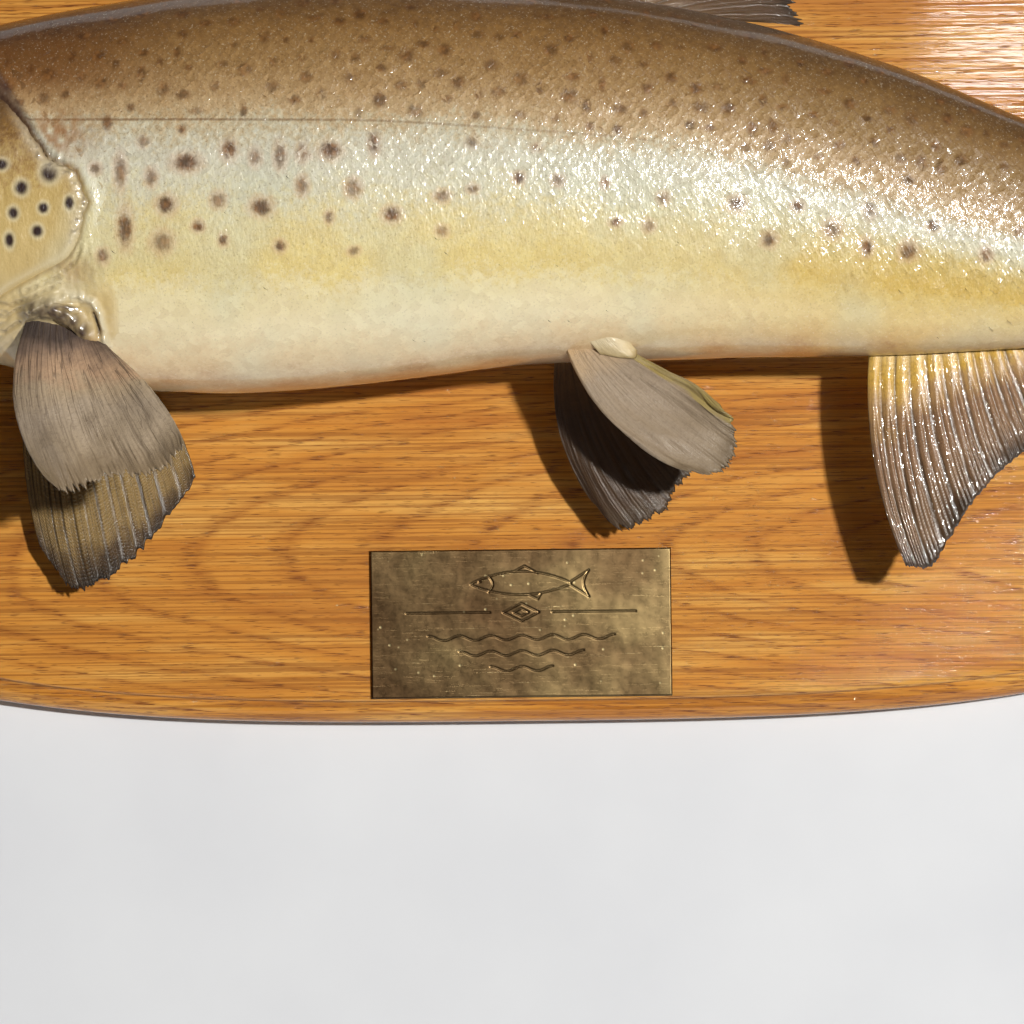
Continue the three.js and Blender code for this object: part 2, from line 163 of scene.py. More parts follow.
def ripple(x, y, seed, size):
    """Soft noise between -1 and 1: a sum of waves in seeded directions, whose lengths are near `size`."""
    draw = np.random.default_rng(seed)
    total = np.zeros(np.broadcast(x, y).shape)
    for _ in range(9):
        turn, phase = draw.uniform(0, 2 * math.pi, 2)
        length = size * draw.uniform(0.6, 1.7)
        total += np.sin((x * math.cos(turn) + y * math.sin(turn)) * 2 * math.pi / length + phase)
    return total / 4.5


def off_path(x, z, path):
    """Distance in a flat view to a line through the path's corners."""
    nearest = np.full(np.shape(x), 1e9)
    for (ax, az), (bx, bz) in zip(path[:-1], path[1:]):
        run, rise = bx - ax, bz - az
        t = np.clip(((x - ax) * run + (z - az) * rise) / (run * run + rise * rise), 0, 1)
        nearest = np.minimum(nearest, np.hypot(x - ax - run * t, z - az - rise * t))
    return nearest


# %% [markdown]
# ## Colours and shader nodes
#
# Paint colours are easiest to name as web colours, but Blender mixes light in linear numbers, so one
# function converts them. A second adds a shader node with its settings and links in one line, and a
# third binds it to one material, which keeps that material readable from top to bottom. The settings
# that come back most often have names: MIX lays one colour over another, SHADE multiplies them, TIMES
# multiplies numbers and SOFT eases a range.

# %% Paint and nodes
MIX = {"out": 2, "data_type": "RGBA"}
SHADE = MIX | {"blend_type": "MULTIPLY"}
TIMES = {"operation": "MULTIPLY"}
SOFT = {"interpolation_type": "SMOOTHSTEP"}


def paint(web_colour):
    """A colour such as #c98a3c as linear red, green, blue and alpha."""
    channels = [int(web_colour[i : i + 2], 16) / 255 for i in (1, 3, 5)]
    return tuple(c / 12.92 if c <= 0.04045 else ((c + 0.055) / 1.055) ** 2.4 for c in channels) + (1.0,)


def add_node(tree, kind, values=None, out=0, stops=None, span=None, to=None, **settings):
    """Adds a shader node and returns one output. A value that is an output is linked, any other is set.

    A colour ramp's stops are pairs of place and web colour. A range maps its span onto `to`."""
    made = tree.nodes.new("ShaderNode" + kind)
    for setting, value in settings.items():
        setattr(made, setting, value)
    for socket, value in (values or {}).items():
        if isinstance(value, bpy.types.NodeSocket):
            tree.links.new(value, made.inputs[socket])
        else:
            made.inputs[socket].default_value = value
    for which, ends in (("From", span), ("To", to)):
        if ends:
            made.inputs[which + " Min"].default_value, made.inputs[which + " Max"].default_value = ends
    if stops:
        ends = made.color_ramp.elements
        ends[0].position, ends[0].color = stops[0][0], paint(stops[0][1])
        ends[1].position, ends[1].color = stops[-1][0], paint(stops[-1][1])
        for position, colour in stops[1:-1]:
            ends.new(position).color = paint(colour)
    return made.outputs[out] if made.outputs else made


def start(made):
    """Empties the node tree of a new material or world, and returns the function that adds a node to it."""
    made.use_nodes = True
    made.node_tree.nodes.clear()
    return partial(add_node, made.node_tree)


# %% [markdown]
# ## Camera
#
# A mount is best seen straight on through a long lens, so that the board stays square. The camera
# stands 1.6 m away and sees the middle of the fish only: head, tail and the top of the board reach
# past the picture. A turn of two thirds of a degree shows that the board hangs a touch off level.

# %% Camera
CAMERA_AT = (-5.1, -1620.0, -114.8)
SEEN_WIDTH = 429.0  # what the picture spans at the face of the board
FACE_TO_CAMERA = 1600.0
ROLL = 0.66  # degrees
SENSOR = 36.0
lens = bpy.data.cameras.new("long lens")
lens.sensor_width = SENSOR
lens.lens = SENSOR * FACE_TO_CAMERA / SEEN_WIDTH
lens.clip_start = 0.05
lens.clip_end = 30.0
camera = bpy.data.objects.new("camera", lens)
camera.location = [value * MM for value in CAMERA_AT]
camera.rotation_euler = (math.radians(90), math.radians(ROLL), 0)
bpy.context.scene.collection.objects.link(camera)
bpy.context.scene.camera = camera
bpy.context.scene.view_settings.view_transform = "Standard"
print("lens:", round(lens.lens, 1), "mm")

# %% [markdown]
# ## Light
#
# The shadows of the fins fall left and a little down, with clear edges. So the main light is a small
# softbox to the right and a little above the camera. An oval light beside the camera is mirrored by
# the varnish as one bright patch. A wide, weak one on the left keeps the shadows open, and a dim room
# fills the rest. A last soft light stands behind the wall for views of the back.

# %% Softboxes
def softbox(name, at, target, size, watts, tint, shape="RECTANGLE"):
    """An area light of the given size in mm, turned to face a point."""
    lamp = bpy.data.lights.new(name, "AREA")
    lamp.shape = shape
    lamp.size, lamp.size_y = size[0] * MM, size[1] * MM
    lamp.energy = watts
    lamp.color = paint(tint)[:3]
    holder = bpy.data.objects.new(name, lamp)
    holder.location = [value * MM for value in at]
    away = holder.location - type(holder.location)([value * MM for value in target])
    holder.rotation_euler = away.to_track_quat("Z", "Y").to_euler()
    holder.visible_camera = False
    bpy.context.scene.collection.objects.link(holder)


softbox("main softbox", (1200, -3150, 350), (0, -20, -60), (140, 120), 112.0, "#fffcf6")
softbox("oval light", (505, -1640, 262), (0, -20, -60), (330, 74), 1.4, "#ffffff", "ELLIPSE")
softbox("left softbox", (-1250, -1500, 160), (0, -20, -60), (900, 900), 0.4, "#ffb070")
softbox("rear softbox", (-900, 1900, 900), (0, 0, 0), (1200, 1200), 26.0, "#ffffff")

room = bpy.data.worlds.new("pale room")
add = start(room)
ray = add("LightPath", out="Is Camera Ray")
ROOM_LIGHT = 0.009
seen = add("Background", {"Color": paint("#e9eaec"), "Strength": 1.0})
shed = add("Background", {"Color": paint("#ffe6cc"), "Strength": ROOM_LIGHT})
both = add("MixShader", {0: ray, 1: shed, 2: seen})
add("OutputWorld", {"Surface": both})
bpy.context.scene.world = room

# %% [markdown]
# ## Wall and floor
#
# The board hangs on a plain pale wall, which catches the thin shadow under its edge. A wall behind
# the board would hide the back of the mount, so this one is built like a piece of film set: it is
# cut out to the outline of the board's back, and seen from behind it isn't there. It ends not far
# above the board, because a lacquered back mirrors whatever pale thing stands over it.

# %% Board sizes
BOARD = {"half_width": 388.0, "half_height": 203.0, "thickness": 20.0, "squareness": 3.2}
BACK_INSET = 1.5


def board_outline(turn, inset):
    """Superellipse: cosine and sine of the turn, to the power 2 over the squareness, times the half sizes."""
    power = 2 / BOARD["squareness"]
    across = signed_power(np.cos(turn), power) * (BOARD["half_width"] - inset)
    up = signed_power(np.sin(turn), power) * (BOARD["half_height"] - inset)
    return across, up


# %% Wall and floor
WALL_HALF_WIDTH, WALL_TOP, FLOOR_LEVEL, FLOOR_REACH = 3200.0, 440.0, -1400.0, 1400.0

wall_paint = bpy.data.materials.new("matte wall paint, eggshell white")
add = start(wall_paint)
place = add("TexCoord", out="Object")
mottle = add("TexNoise", {"Vector": place, "Scale": 9.0, "Detail": 4.0})
shade = add("ValToRGB", {0: mottle}, stops=[(0.3, "#d9dce2"), (0.7, "#e1e4e9")])
matte = add("BsdfPrincipled", {"Base Color": shade, "Roughness": 0.75})
behind = add("NewGeometry", out="Backfacing")
gone = add("BsdfTransparent")
add("OutputMaterial", {"Surface": add("MixShader", {0: behind, 1: matte, 2: gone})})

turn = np.linspace(0, 2 * math.pi, 257)[:-1]
rim_x, rim_z = board_outline(turn, BACK_INSET)
stretch = 1 / np.maximum(np.abs(np.cos(turn)), np.abs(np.sin(turn)))
far_x = np.cos(turn) * stretch * WALL_HALF_WIDTH
far_z = np.where(np.sin(turn) > 0, WALL_TOP, -FLOOR_LEVEL) * np.sin(turn) * stretch
rings = []
for s in (0, 0.05, 0.3, 1):  # shares of the way from the board to the wall's edge
    rings.append(np.stack([rim_x * (1 - s) + far_x * s, np.zeros(256), rim_z * (1 - s) + far_z * s], -1))
wall = make_mesh("wall", np.concatenate(rings), [grid_faces(4, 256, wrap=True, flip=True)], wall_paint)
floor_edge = np.array([[-1, 0], [1, 0], [1, 1], [-1, 1]], float)
floor_points = np.stack(
    [floor_edge[:, 0] * WALL_HALF_WIDTH, -floor_edge[:, 1] * FLOOR_REACH, np.full(4, FLOOR_LEVEL)], -1
)
floor = make_mesh("floor", floor_points, [np.array([[3, 2, 1, 0]])], wall_paint)

# %% [markdown]
# ## Oak board
#
# The board is one plank of oak with a routed edge, stained honey and varnished. Plain-sawn oak shows
# two patterns at once. The growth rings, cut at a shallow slope, draw nested arches. The pores, which
# are vessels cut lengthwise, draw short dark dashes that all run along the plank.
#
# Both can be had from the wood itself rather than from a picture of it: the rings are cones around
# the pith, so a point's ring is its distance from a line that slopes away behind the face. Noise that
# is stretched twenty times along the grain makes the pores.

# %% Varnished oak
def varnished_oak():
    """Honey oak, plain sawn, under gloss varnish: arches of growth rings, dark pores, a hard highlight."""
    finish = bpy.data.materials.new("varnished oak, plain sawn")
    add = start(finish)
    place = add("TexCoord", out="Object")
    mm = add("VectorMath", {0: place, 1: (1000, 1000, 1000)}, **TIMES)
    # a slow drift bends the whole figure, as a trunk is never straight
    slow = add("VectorMath", {0: mm, 1: (0.006, 0.03, 0.022)}, **TIMES)
    drift = add("TexNoise", {"Vector": slow, "Scale": 1.0, "Detail": 3.0, "Roughness": 0.55}, out="Color")
    drift = add("VectorMath", {0: drift, 1: (0.5, 0.5, 0.5)}, operation="SUBTRACT")
    drift = add("VectorMath", {0: drift, 1: (34, 30, 15)}, **TIMES)
    bent = add("VectorMath", {0: mm, 1: drift}, operation="ADD")
    x = add("SeparateXYZ", {0: bent}, out="X")
    z = add("SeparateXYZ", {0: bent}, out="Z")
    # the pith runs 132 mm below the middle of the board and comes nearer to the face towards +X
    beside = add("Math", {0: z, 1: 132.0}, operation="ADD")
    beside = add("Math", {0: beside, 1: beside}, **TIMES)
    depth = add("Math", {0: x, 1: -0.12, 2: 58.0}, operation="MULTIPLY_ADD")
    depth = add("Math", {0: depth, 1: depth}, **TIMES)
    across = add("Math", {0: beside, 1: depth}, operation="ADD")
    radius = add("Math", {0: across}, operation="SQRT")
    RING = 4.6  # mm of growth in a year
    years = add("Math", {0: radius, 1: RING}, operation="DIVIDE")
    season = add("Math", {0: years}, operation="FRACT")
    band = add(
        "ValToRGB", {0: season},
        stops=[(0.0, "#2a2a2a"), (0.14, "#ffffff"), (0.42, "#5a5a5a"), (1.0, "#000000")],
    )
    fibre = add("VectorMath", {0: mm, 1: (0.03, 0.5, 0.5)}, **TIMES)
    streak = add("TexNoise", {"Vector": fibre, "Scale": 1.0, "Detail": 4.0, "Roughness": 0.6})
    ragged = add("MapRange", {"Value": streak}, span=(0.34, 0.66))
    ring = add("Math", {0: band, 1: ragged}, **TIMES)
    # pores: dashes some 9 mm long and 0.4 mm wide, crowded in the spring wood
    vessel = add("VectorMath", {0: mm, 1: (0.11, 2.3, 2.3)}, **TIMES)
    dash = add("TexNoise", {"Vector": vessel, "Scale": 1.0, "Detail": 2.0, "Roughness": 0.5})
    crowd = add("Math", {0: ring, 1: 0.13}, **TIMES)
    dash = add("Math", {0: dash, 1: crowd}, operation="ADD")
    pore = add("MapRange", {"Value": dash}, span=(0.6, 0.69))
    # fine grain: hair lines half a millimetre wide and some 60 mm long, over the whole face
    hair = add("VectorMath", {0: mm, 1: (0.006, 0.95, 0.95)}, **TIMES)
    hair = add("TexNoise", {"Vector": hair, "Scale": 1.0, "Detail": 1.5, "Roughness": 0.5})
    hair = add("MapRange", {"Value": hair}, span=(0.45, 0.62), to=(0.0, 0.66))
    broad = add("VectorMath", {0: mm, 1: (0.012, 0.12, 0.10)}, **TIMES)
    board_tone = add("TexNoise", {"Vector": broad, "Scale": 1.0, "Detail": 3.0})
    honey = add("ValToRGB", {0: board_tone}, stops=[(0.3, "#b56c20"), (0.5, "#cd872f"), (0.72, "#e0a955")])
    fine = add("MapRange", {"Value": streak}, span=(0.3, 0.7), to=(0.0, 0.3))
    wood = add("Mix", {0: fine, 6: honey, 7: paint("#e6ab52")}, **MIX)
    arch = add("Math", {0: ring, 1: 0.72}, **TIMES)
    wood = add("Mix", {0: arch, 6: wood, 7: paint("#944c0f")}, **MIX)
    wood = add("Mix", {0: hair, 6: wood, 7: paint("#93581b")}, **MIX)
    dark = add("Math", {0: pore, 1: 0.85}, **TIMES)
    wood = add("Mix", {0: dark, 6: wood, 7: paint("#6b360a")}, **MIX)
    sunk = add("Math", {0: pore, 1: -1.0}, **TIMES)
    grain = add("Bump", {"Strength": 0.5, "Distance": 0.00012, "Height": sunk})
    film = add("VectorMath", {0: mm, 1: (0.014, 0.5, 0.5)}, **TIMES)
    wave = add("TexNoise", {"Vector": film, "Scale": 1.0, "Detail": 2.0})
    skin_of_varnish = add("Bump", {"Strength": 0.35, "Distance": 0.0002, "Height": wave, "Normal": grain})
    surface = add("BsdfPrincipled", {
        "Base Color": wood, "Roughness": 0.6, "Specular IOR Level": 0.2, "Normal": grain,
        "Coat Weight": 1.0, "Coat Roughness": 0.06, "Coat IOR": 1.5, "Coat Normal": skin_of_varnish})
    add("OutputMaterial", {"Surface": surface})
    return finish


oak = varnished_oak()

# %% [markdown]
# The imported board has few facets, which show as corners along its curved ends. So the board is made
# again from the same outline: each ring of points is the outline drawn in by an inset and set at a
# height, and the insets and heights follow the cutter that ran round the edge. On the back the rings
# close in on the pocket for the hanger.

# %% Board
# inset and height where the cutter starts and stops
ROUNDOVER = {"foot": (0.0, 10.0), "shoulder": (8.4, 16.4)}
POCKET = {"half_width": 34.0, "half_height": 9.0, "depth": 2.4, "z": 150.0, "squareness": 9.0}
AROUND_BOARD = 512


def board_mesh():
    """Rings from the middle of the pocket, out over the back, round the routed edge and in over the face."""
    turn = np.linspace(0, 2 * math.pi, AROUND_BOARD + 1)[:-1]

    def ring(inset, height):
        across, up = board_outline(turn, inset)
        return np.stack([across, np.full(AROUND_BOARD, -height), up], -1)

    outer = ring(BACK_INSET, 0)
    bearing = np.arctan2(outer[:, 2] - POCKET["z"], outer[:, 0])
    squareness = POCKET["squareness"]
    wide = np.abs(np.cos(bearing) / POCKET["half_width"]) ** squareness
    high = np.abs(np.sin(bearing) / POCKET["half_height"]) ** squareness
    reach = (wide + high) ** (-1 / squareness)
    pocket = np.stack(
        [reach * np.cos(bearing), np.zeros(AROUND_BOARD), POCKET["z"] + reach * np.sin(bearing)], -1
    )
    floor_of_pocket = pocket - [0, POCKET["depth"], 0]
    middle = np.tile([0, -POCKET["depth"], POCKET["z"]], (AROUND_BOARD, 1))
    rings = [
        middle, middle * 0.1 + floor_of_pocket * 0.9, floor_of_pocket, pocket, pocket * 0.97 + outer * 0.03
    ]
    rings += [ring(BACK_INSET + 1.2, 0), outer, ring(0.45, 0.45), ring(0, 1.5), ring(0, 5)]
    (foot, low), (shoulder, high_end) = ROUNDOVER["foot"], ROUNDOVER["shoulder"]
    for sweep in np.linspace(0, math.pi / 2, 11):
        rings.append(
            ring(foot + (shoulder - foot) * (1 - math.cos(sweep)), low + (high_end - low) * math.sin(sweep))
        )
    rings += [
        ring(8.9, 16.6), ring(9.15, 17.4), ring(9.25, 18.8), ring(9.6, 19.6), ring(10.2, 20), ring(11.6, 20)
    ]
    rings += [ring(60, 20), np.tile([0, -BOARD["thickness"], 0], (AROUND_BOARD, 1))]
    return make_mesh(
        "board_varnished", np.concatenate(rings), [grid_faces(len(rings), AROUND_BOARD, wrap=True)], oak,
        merge=True,
    )


settle(board_mesh(), "oak", "board")

# %% [markdown]
# ## Brass plate
#
# The plate is sheet brass with a filed edge, dull with age: brown where lacquer has worn off, with
# pits and fine scratches that catch the light. Where a name would be cut, this one has a plain fish
# over two rules with a lozenge between them, and three waves below. The cuts are real grooves in the
# mesh, so their walls light up and darken as the view turns. The grid is fine only where the graver
# went.

# %% Tarnished brass
def tarnished_brass():
    """Old sheet brass: olive gold, browner in patches, with pits, long slanting scratches and a painted
    reflection lighter to the right.
    """
    finish = bpy.data.materials.new("tarnished sheet brass, scratched")
    add = start(finish)
    place = add("TexCoord", out="Object")
    mm = add("VectorMath", {0: place, 1: (1000, 1000, 1000)}, **TIMES)
    patch = add("TexNoise", {"Vector": mm, "Scale": 0.03, "Detail": 3.0, "Roughness": 0.5})
    x = add("SeparateXYZ", {0: mm}, out="X")
    # painted reflection: the plate is made darker on the left and lighter on the right
    painted_reflection = add("MapRange", {"Value": x}, span=(-70.0, 70.0), to=(-0.13, 0.13))
    tarnish_and_reflection = add("Math", {0: patch, 1: painted_reflection}, operation="ADD")
    metal = add("ValToRGB", {0: tarnish_and_reflection}, stops=[(0.3, "#5c4730"), (0.5, "#6a563b"), (0.7, "#826f4c")])
    stain = add("TexNoise", {"Vector": mm, "Scale": 0.5, "Detail": 5.0, "Roughness": 0.75})
    stained = add("MapRange", {"Value": stain}, span=(0.5, 0.72), to=(0.0, 0.2))
    metal = add("Mix", {0: stained, 6: metal, 7: paint("#564126")}, **MIX)
    # scratches lean about 35 degrees; a second, sparser set crosses them
    turned = add("Mapping", {"Vector": mm, "Rotation": (0, math.radians(-36), 0), "Scale": (0.05, 1, 2.6)})
    scratch = add("TexNoise", {"Vector": turned, "Scale": 1.0, "Detail": 5.0, "Roughness": 0.75})
    line = add("MapRange", {"Value": scratch}, span=(0.62, 0.7))
    crossed = add("Mapping", {"Vector": mm, "Rotation": (0, math.radians(48), 0), "Scale": (0.04, 1, 2.2)})
    second = add("TexNoise", {"Vector": crossed, "Scale": 1.0, "Detail": 5.0, "Roughness": 0.7})
    second = add("MapRange", {"Value": second}, span=(0.66, 0.73))
    marks = add("Math", {0: line, 1: second}, operation="MAXIMUM")
    pit = add("TexVoronoi", {"Vector": mm, "Scale": 0.16, "Randomness": 1.0})
    pitted = add("MapRange", {"Value": pit}, span=(0.03, 0.12), to=(1.0, 0.0))
    marks = add("Math", {0: marks, 1: pitted}, operation="MAXIMUM")
    bright = add("Math", {0: marks, 1: 0.6}, **TIMES)
    metal = add("Mix", {0: bright, 6: metal, 7: paint("#d8c795")}, **MIX)
    rough = add("MapRange", {"Value": stain}, span=(0.35, 0.7), to=(0.3, 0.42))
    dent = add("Math", {0: marks, 1: -1.0}, **TIMES)
    cut = add("Bump", {"Strength": 0.5, "Distance": 0.00006, "Height": dent})
    rolled = add("TexNoise", {"Vector": mm, "Scale": 0.06, "Detail": 2.0})
    sheet = add("Bump", {"Strength": 0.5, "Distance": 0.0011, "Height": rolled, "Normal": cut})
    surface = add(
        "BsdfPrincipled", {"Base Color": metal, "Metallic": 1.0, "Roughness": rough, "Normal": sheet}
    )
    add("OutputMaterial", {"Surface": surface})
    return finish


brass = tarnished_brass()

# %% Plate with engraving
PLATE = {"half_width": 63.0, "half_height": 31.0, "thickness": 1.5, "bevel": 0.5, "x": -1.8, "z": -161.4}
BEHIND_PLATE = 20.3  # from the wall to the back of the plate
GROOVE = {"half_width": 0.5, "depth": 0.36, "grid": 0.27}


def engraved_lines():
    """A plain fish, two rules with a lozenge, and three waves: paths in mm from the plate's middle."""
    along = np.linspace(-1, 1, 33)
    back = np.column_stack([21 * along, 16.5 + 5.2 * np.cos(along * math.pi / 2) ** 0.8])
    belly = np.column_stack([21 * along, 16.5 - 4.6 * np.cos(along * math.pi / 2) ** 0.8])
    bend = np.linspace(-1, 1, 9)
    tail = np.column_stack([28.5 - 2.2 * np.cos(bend * math.pi / 2), 16.5 + 5.5 * bend])
    gill = np.column_stack([-13.5 + 1.8 * np.cos(bend * math.pi / 2), 16.5 + 3.3 * bend])
    fish = [back, belly, tail, gill, [(20.4, 16.9), (28.5, 22)], [(20.4, 16.1), (28.5, 11)]]
    fish += [
        [(-3, 21.6), (1.5, 24), (7, 20.9)], [(3, 12), (7, 10), (8.5, 12.6)], [(-17.6, 17.4), (-16.9, 17.4)]
    ]
    rules = [[(side * 13, 4.6), (side * 48, 4.6)] for side in (-1, 1)]
    lozenges = [[(-w, 4.6), (0, 4.6 + w / 2), (w, 4.6), (0, 4.6 - w / 2), (-w, 4.6)] for w in (3.2, 7.5)]
    waves = []
    for height, half_length in ((-6.0, 39), (-12.5, 26), (-19.0, 13)):
        run = np.arange(-half_length, half_length + 0.1, 1.0)
        waves.append(np.column_stack([run, height + 1.0 * np.cos(run * 2 * math.pi / 13)]))
    return fish + rules + lozenges + waves


def engraving(x, z):
    """Depth of the cuts: a V whose depth falls with the distance from the nearest engraved line."""
    nearest = np.full(np.shape(x), 9.0)
    for path in engraved_lines():
        nearest = np.minimum(nearest, off_path(x, z, path))
    return GROOVE["depth"] * np.clip(1 - nearest / GROOVE["half_width"], 0, 1)


def plate_mesh():
    """A grid of the face, dense where it is engraved, whose outer lines step down over the bevel."""
    thick, bevel = PLATE["thickness"], PLATE["bevel"]

    def lines(half, dense_from, dense_to):
        before = np.linspace(-half + bevel + 0.3, dense_from, 5)[:-1]
        after = np.linspace(dense_to, half - bevel - 0.3, 5)
        flat = np.concatenate([before, np.arange(dense_from, dense_to, GROOVE["grid"]), after])
        at = np.concatenate([[-half, -half, -half + bevel], flat, [half - bevel, half, half]])
        height = np.full(len(at), thick)
        height[[0, -1]] = 0
        height[[1, -2]] = thick - bevel
        return at, height

    across, height_x = lines(PLATE["half_width"], -49.0, 49.0)
    up, height_z = lines(PLATE["half_height"], -21.5, 25.0)
    x, z = np.meshgrid(across, up, indexing="ij")
    y = -(BEHIND_PLATE + np.minimum(height_x[:, None], height_z[None, :]) - engraving(x, z))
    points = np.stack([x + PLATE["x"], y, z + PLATE["z"]], -1).reshape(-1, 3)
    rows, columns = len(across), len(up)
    number = np.arange(rows * columns).reshape(rows, columns)
    edge = np.concatenate([number[:-1, 0], number[-1, :-1], number[:0:-1, -1], number[0, :0:-1]])
    points = np.concatenate([points, [[PLATE["x"], -BEHIND_PLATE, PLATE["z"]]]])
    back = np.stack([edge, np.roll(edge, -1), np.full(len(edge), rows * columns)], -1)
    return make_mesh("plate_engraved", points, [grid_faces(rows, columns, flip=True), back[:, ::-1]], brass)


settle(plate_mesh(), "brass", "nameplate")

# %% [markdown]
# ## Hanger
#
# A zinc plated strip with saw teeth sits in the pocket behind. Its solid is already right, so it only
# gets its finish: pale grey metal with the frosty spangle that zinc crystals leave.

# %% Zinc plated steel
def zinc_plated_steel():
    """Zinc on steel: cool grey metal, half matte, with crystals 3 mm across of slightly different greys."""
    finish = bpy.data.materials.new("zinc plated steel, spangled")
    add = start(finish)
    place = add("TexCoord", out="Object")
    crystals = add("TexVoronoi", {"Vector": place, "Scale": 330.0}, out="Color")
    grey = add("ValToRGB", {0: crystals}, stops=[(0.2, "#8b8d8c"), (0.8, "#adb0af")])
    rough = add("MapRange", {"Value": crystals}, to=(0.3, 0.5))
    surface = add("BsdfPrincipled", {"Base Color": grey, "Metallic": 1.0, "Roughness": rough})
    add("OutputMaterial", {"Surface": surface})
    return finish


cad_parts["hanger"].material_slots[0].material = zinc_plated_steel()

# %% [markdown]
# ## The body of the fish
#
# A trout's body is a fair curve in side view and an egg in section, so a few stations along it are
# enough: the height of the back, the height of the belly and the half width. Between stations the
# curves are smoothed. Each section is an ellipse above and a slightly squarer one below. The middle
# plane swings off the board towards the head and the tail, which brings the mount to life.

# %% Stations of the body
PROFILE = [  # x, top, bottom, half width
    (-331, 34, 1, 16), (-309, 46, -12.5, 21.5), (-284, 58.5, -24.5, 27), (-254, 71.5, -36.5, 33),
    (-222, 82.6, -49.5, 38), (-171, 93, -62, 43.5), (-120, 99.5, -65.2, 47.5), (-68, 103, -62.8, 49),
    (-4, 98.8, -55.4, 47.5), (50, 92.6, -54.4, 44), (100, 81.3, -53, 38), (150, 65.3, -53.2, 31),
    (205, 42.2, -51, 23.5), (245, 24.5, -48.5, 17.5), (280, 12.5, -50, 12), (316, 9, -57, 5.5),
]
SNOUT = {"x": -331.0, "z": 17.0, "roundness": 18.0}
TAIL_ROOT = 316.0
UPPER_POWER, LOWER_POWER = 2.0, 2.25
MIDDLE_Y, HEAD_SWING, TAIL_SWING = -66.0, 8.0, 14.0
NEAREST_THE_BOARD = -20.6  # the far flank is flattened here
SIDES = (("left", 1), ("right", -1))  # the near one first

top_at, bottom_at, half_width_at = (through(PROFILE, column) for column in (1, 2, 3))
LATERAL_LINE = [  # x, height
    (-192, 43), (-141, 42), (-90, 41), (-51, 40), (-3, 36.5), (48, 32), (78, 26.7), (138, 10), (199, -7),
    (316, -24),
]
lateral_line_at = through(LATERAL_LINE, 1)


def middle_y(x):
    """The middle plane: the share of the way to snout or tail root, squared, times the swing there."""
    to_head, to_tail = np.clip(-x / 331, 0, 1), np.clip(x / TAIL_ROOT, 0, 1)
    return MIDDLE_Y - HEAD_SWING * to_head**2 - TAIL_SWING * to_tail**2


def section(x):
    """Top, bottom and half width at x; the snout is rounded off like the end of an egg."""
    into = np.clip((x - SNOUT["x"]) / SNOUT["roundness"], 0, 1)
    rounding = np.sqrt(np.maximum(0, 1 - (1 - into) ** 2))
    top = SNOUT["z"] + (top_at(x) - SNOUT["z"]) * rounding
    bottom = SNOUT["z"] + (bottom_at(x) - SNOUT["z"]) * rounding
    return top, bottom, half_width_at(x) * rounding


def body_point(x, angle):
    """Angle 0 is the ridge of the back, a quarter turn the near flank, minus a quarter the far one."""
    top, bottom, half_width = section(x)
    middle, half = (top + bottom) / 2, (top - bottom) / 2
    power = 2 / np.where(np.cos(angle) > 0, UPPER_POWER, LOWER_POWER)
    z = middle + half * signed_power(np.cos(angle), power)
    y = middle_y(x) - half_width * signed_power(np.sin(angle), power)
    return np.stack([x + 0 * z, np.minimum(y, NEAREST_THE_BOARD), z], -1)


def unit(vectors):
    """Vectors shortened or stretched to length 1."""
    return vectors / np.maximum(np.linalg.norm(vectors, axis=-1, keepdims=True), 1e-9)


def clear_of_board(points):
    """The points, with those that would reach into the board laid flat against it."""
    points[..., 1] = np.minimum(points[..., 1], NEAREST_THE_BOARD)
    return points


def skin_frame(x, angle):
    """Point, unit vectors to the tail and down the flank, and outward normal, from small steps each way."""
    step_x, step_a = 0.4, 0.004
    point = body_point(x, angle)
    before, after = np.maximum(x - step_x, SNOUT["x"] + 0.02), np.minimum(x + step_x, TAIL_ROOT)
    ahead = body_point(after, angle) - body_point(before, angle)
    round_it = body_point(x, angle + step_a) - body_point(x, angle - step_a)
    return point, unit(ahead), unit(round_it), unit(np.cross(round_it, ahead))


def angle_at(x, z):
    """The inverse of the section: the angle on the near side at a height of the side view."""
    top, bottom, _ = section(x)
    share = np.clip((z - (top + bottom) / 2) / ((top - bottom) / 2), -1, 1)
    power = np.where(share > 0, UPPER_POWER, LOWER_POWER) / 2
    return np.arccos(np.clip(signed_power(share, power), -1, 1))


print("deepest section:", round(float(top_at(-68) - bottom_at(-68)), 1), "mm")

# %% [markdown]
# ## Markings
#
# The pattern is worked out once, as functions of a place on the body, and both the skin and the
# scales ask them. That is why no spot stops at the edge of a scale. Four fields are stored on each
# corner of a mesh: how high it lies between belly, lateral line and back, how far it is from the
# lateral line, how far from the nearest spot, and how dark that spot is. The shader draws sharp edges
# from these smooth fields, with noise to roughen them.

# %% Spots
def on_near_flank(column, row):
    """The x and z where the line of sight through a place in the frame meets the near flank.

    The line crosses the face of the board `right` and `high` of the camera's axis and shrinks towards
    the camera by the share of the way that is left. The flank's depth gives that share in six rounds."""
    turn, mm_each = math.radians(ROLL), SEEN_WIDTH / FRAME
    across, up = (column - FRAME / 2) * mm_each, (FRAME / 2 - row) * mm_each
    right = across * math.cos(turn) + up * math.sin(turn)
    high = up * math.cos(turn) - across * math.sin(turn)
    depth = 0.0
    for _ in range(6):
        share = 1 - depth / FACE_TO_CAMERA
        x, z = CAMERA_AT[0] + right * share, CAMERA_AT[2] + high * share
        depth = -BOARD["thickness"] - float(body_point(x, angle_at(x, z))[1])
    return x, z


def seen_spots(table):
    """Spots given by column, row, length and height, moved from the frame to the flank."""
    return [(*on_near_flank(column, row), length, height) for column, row, length, height in table]
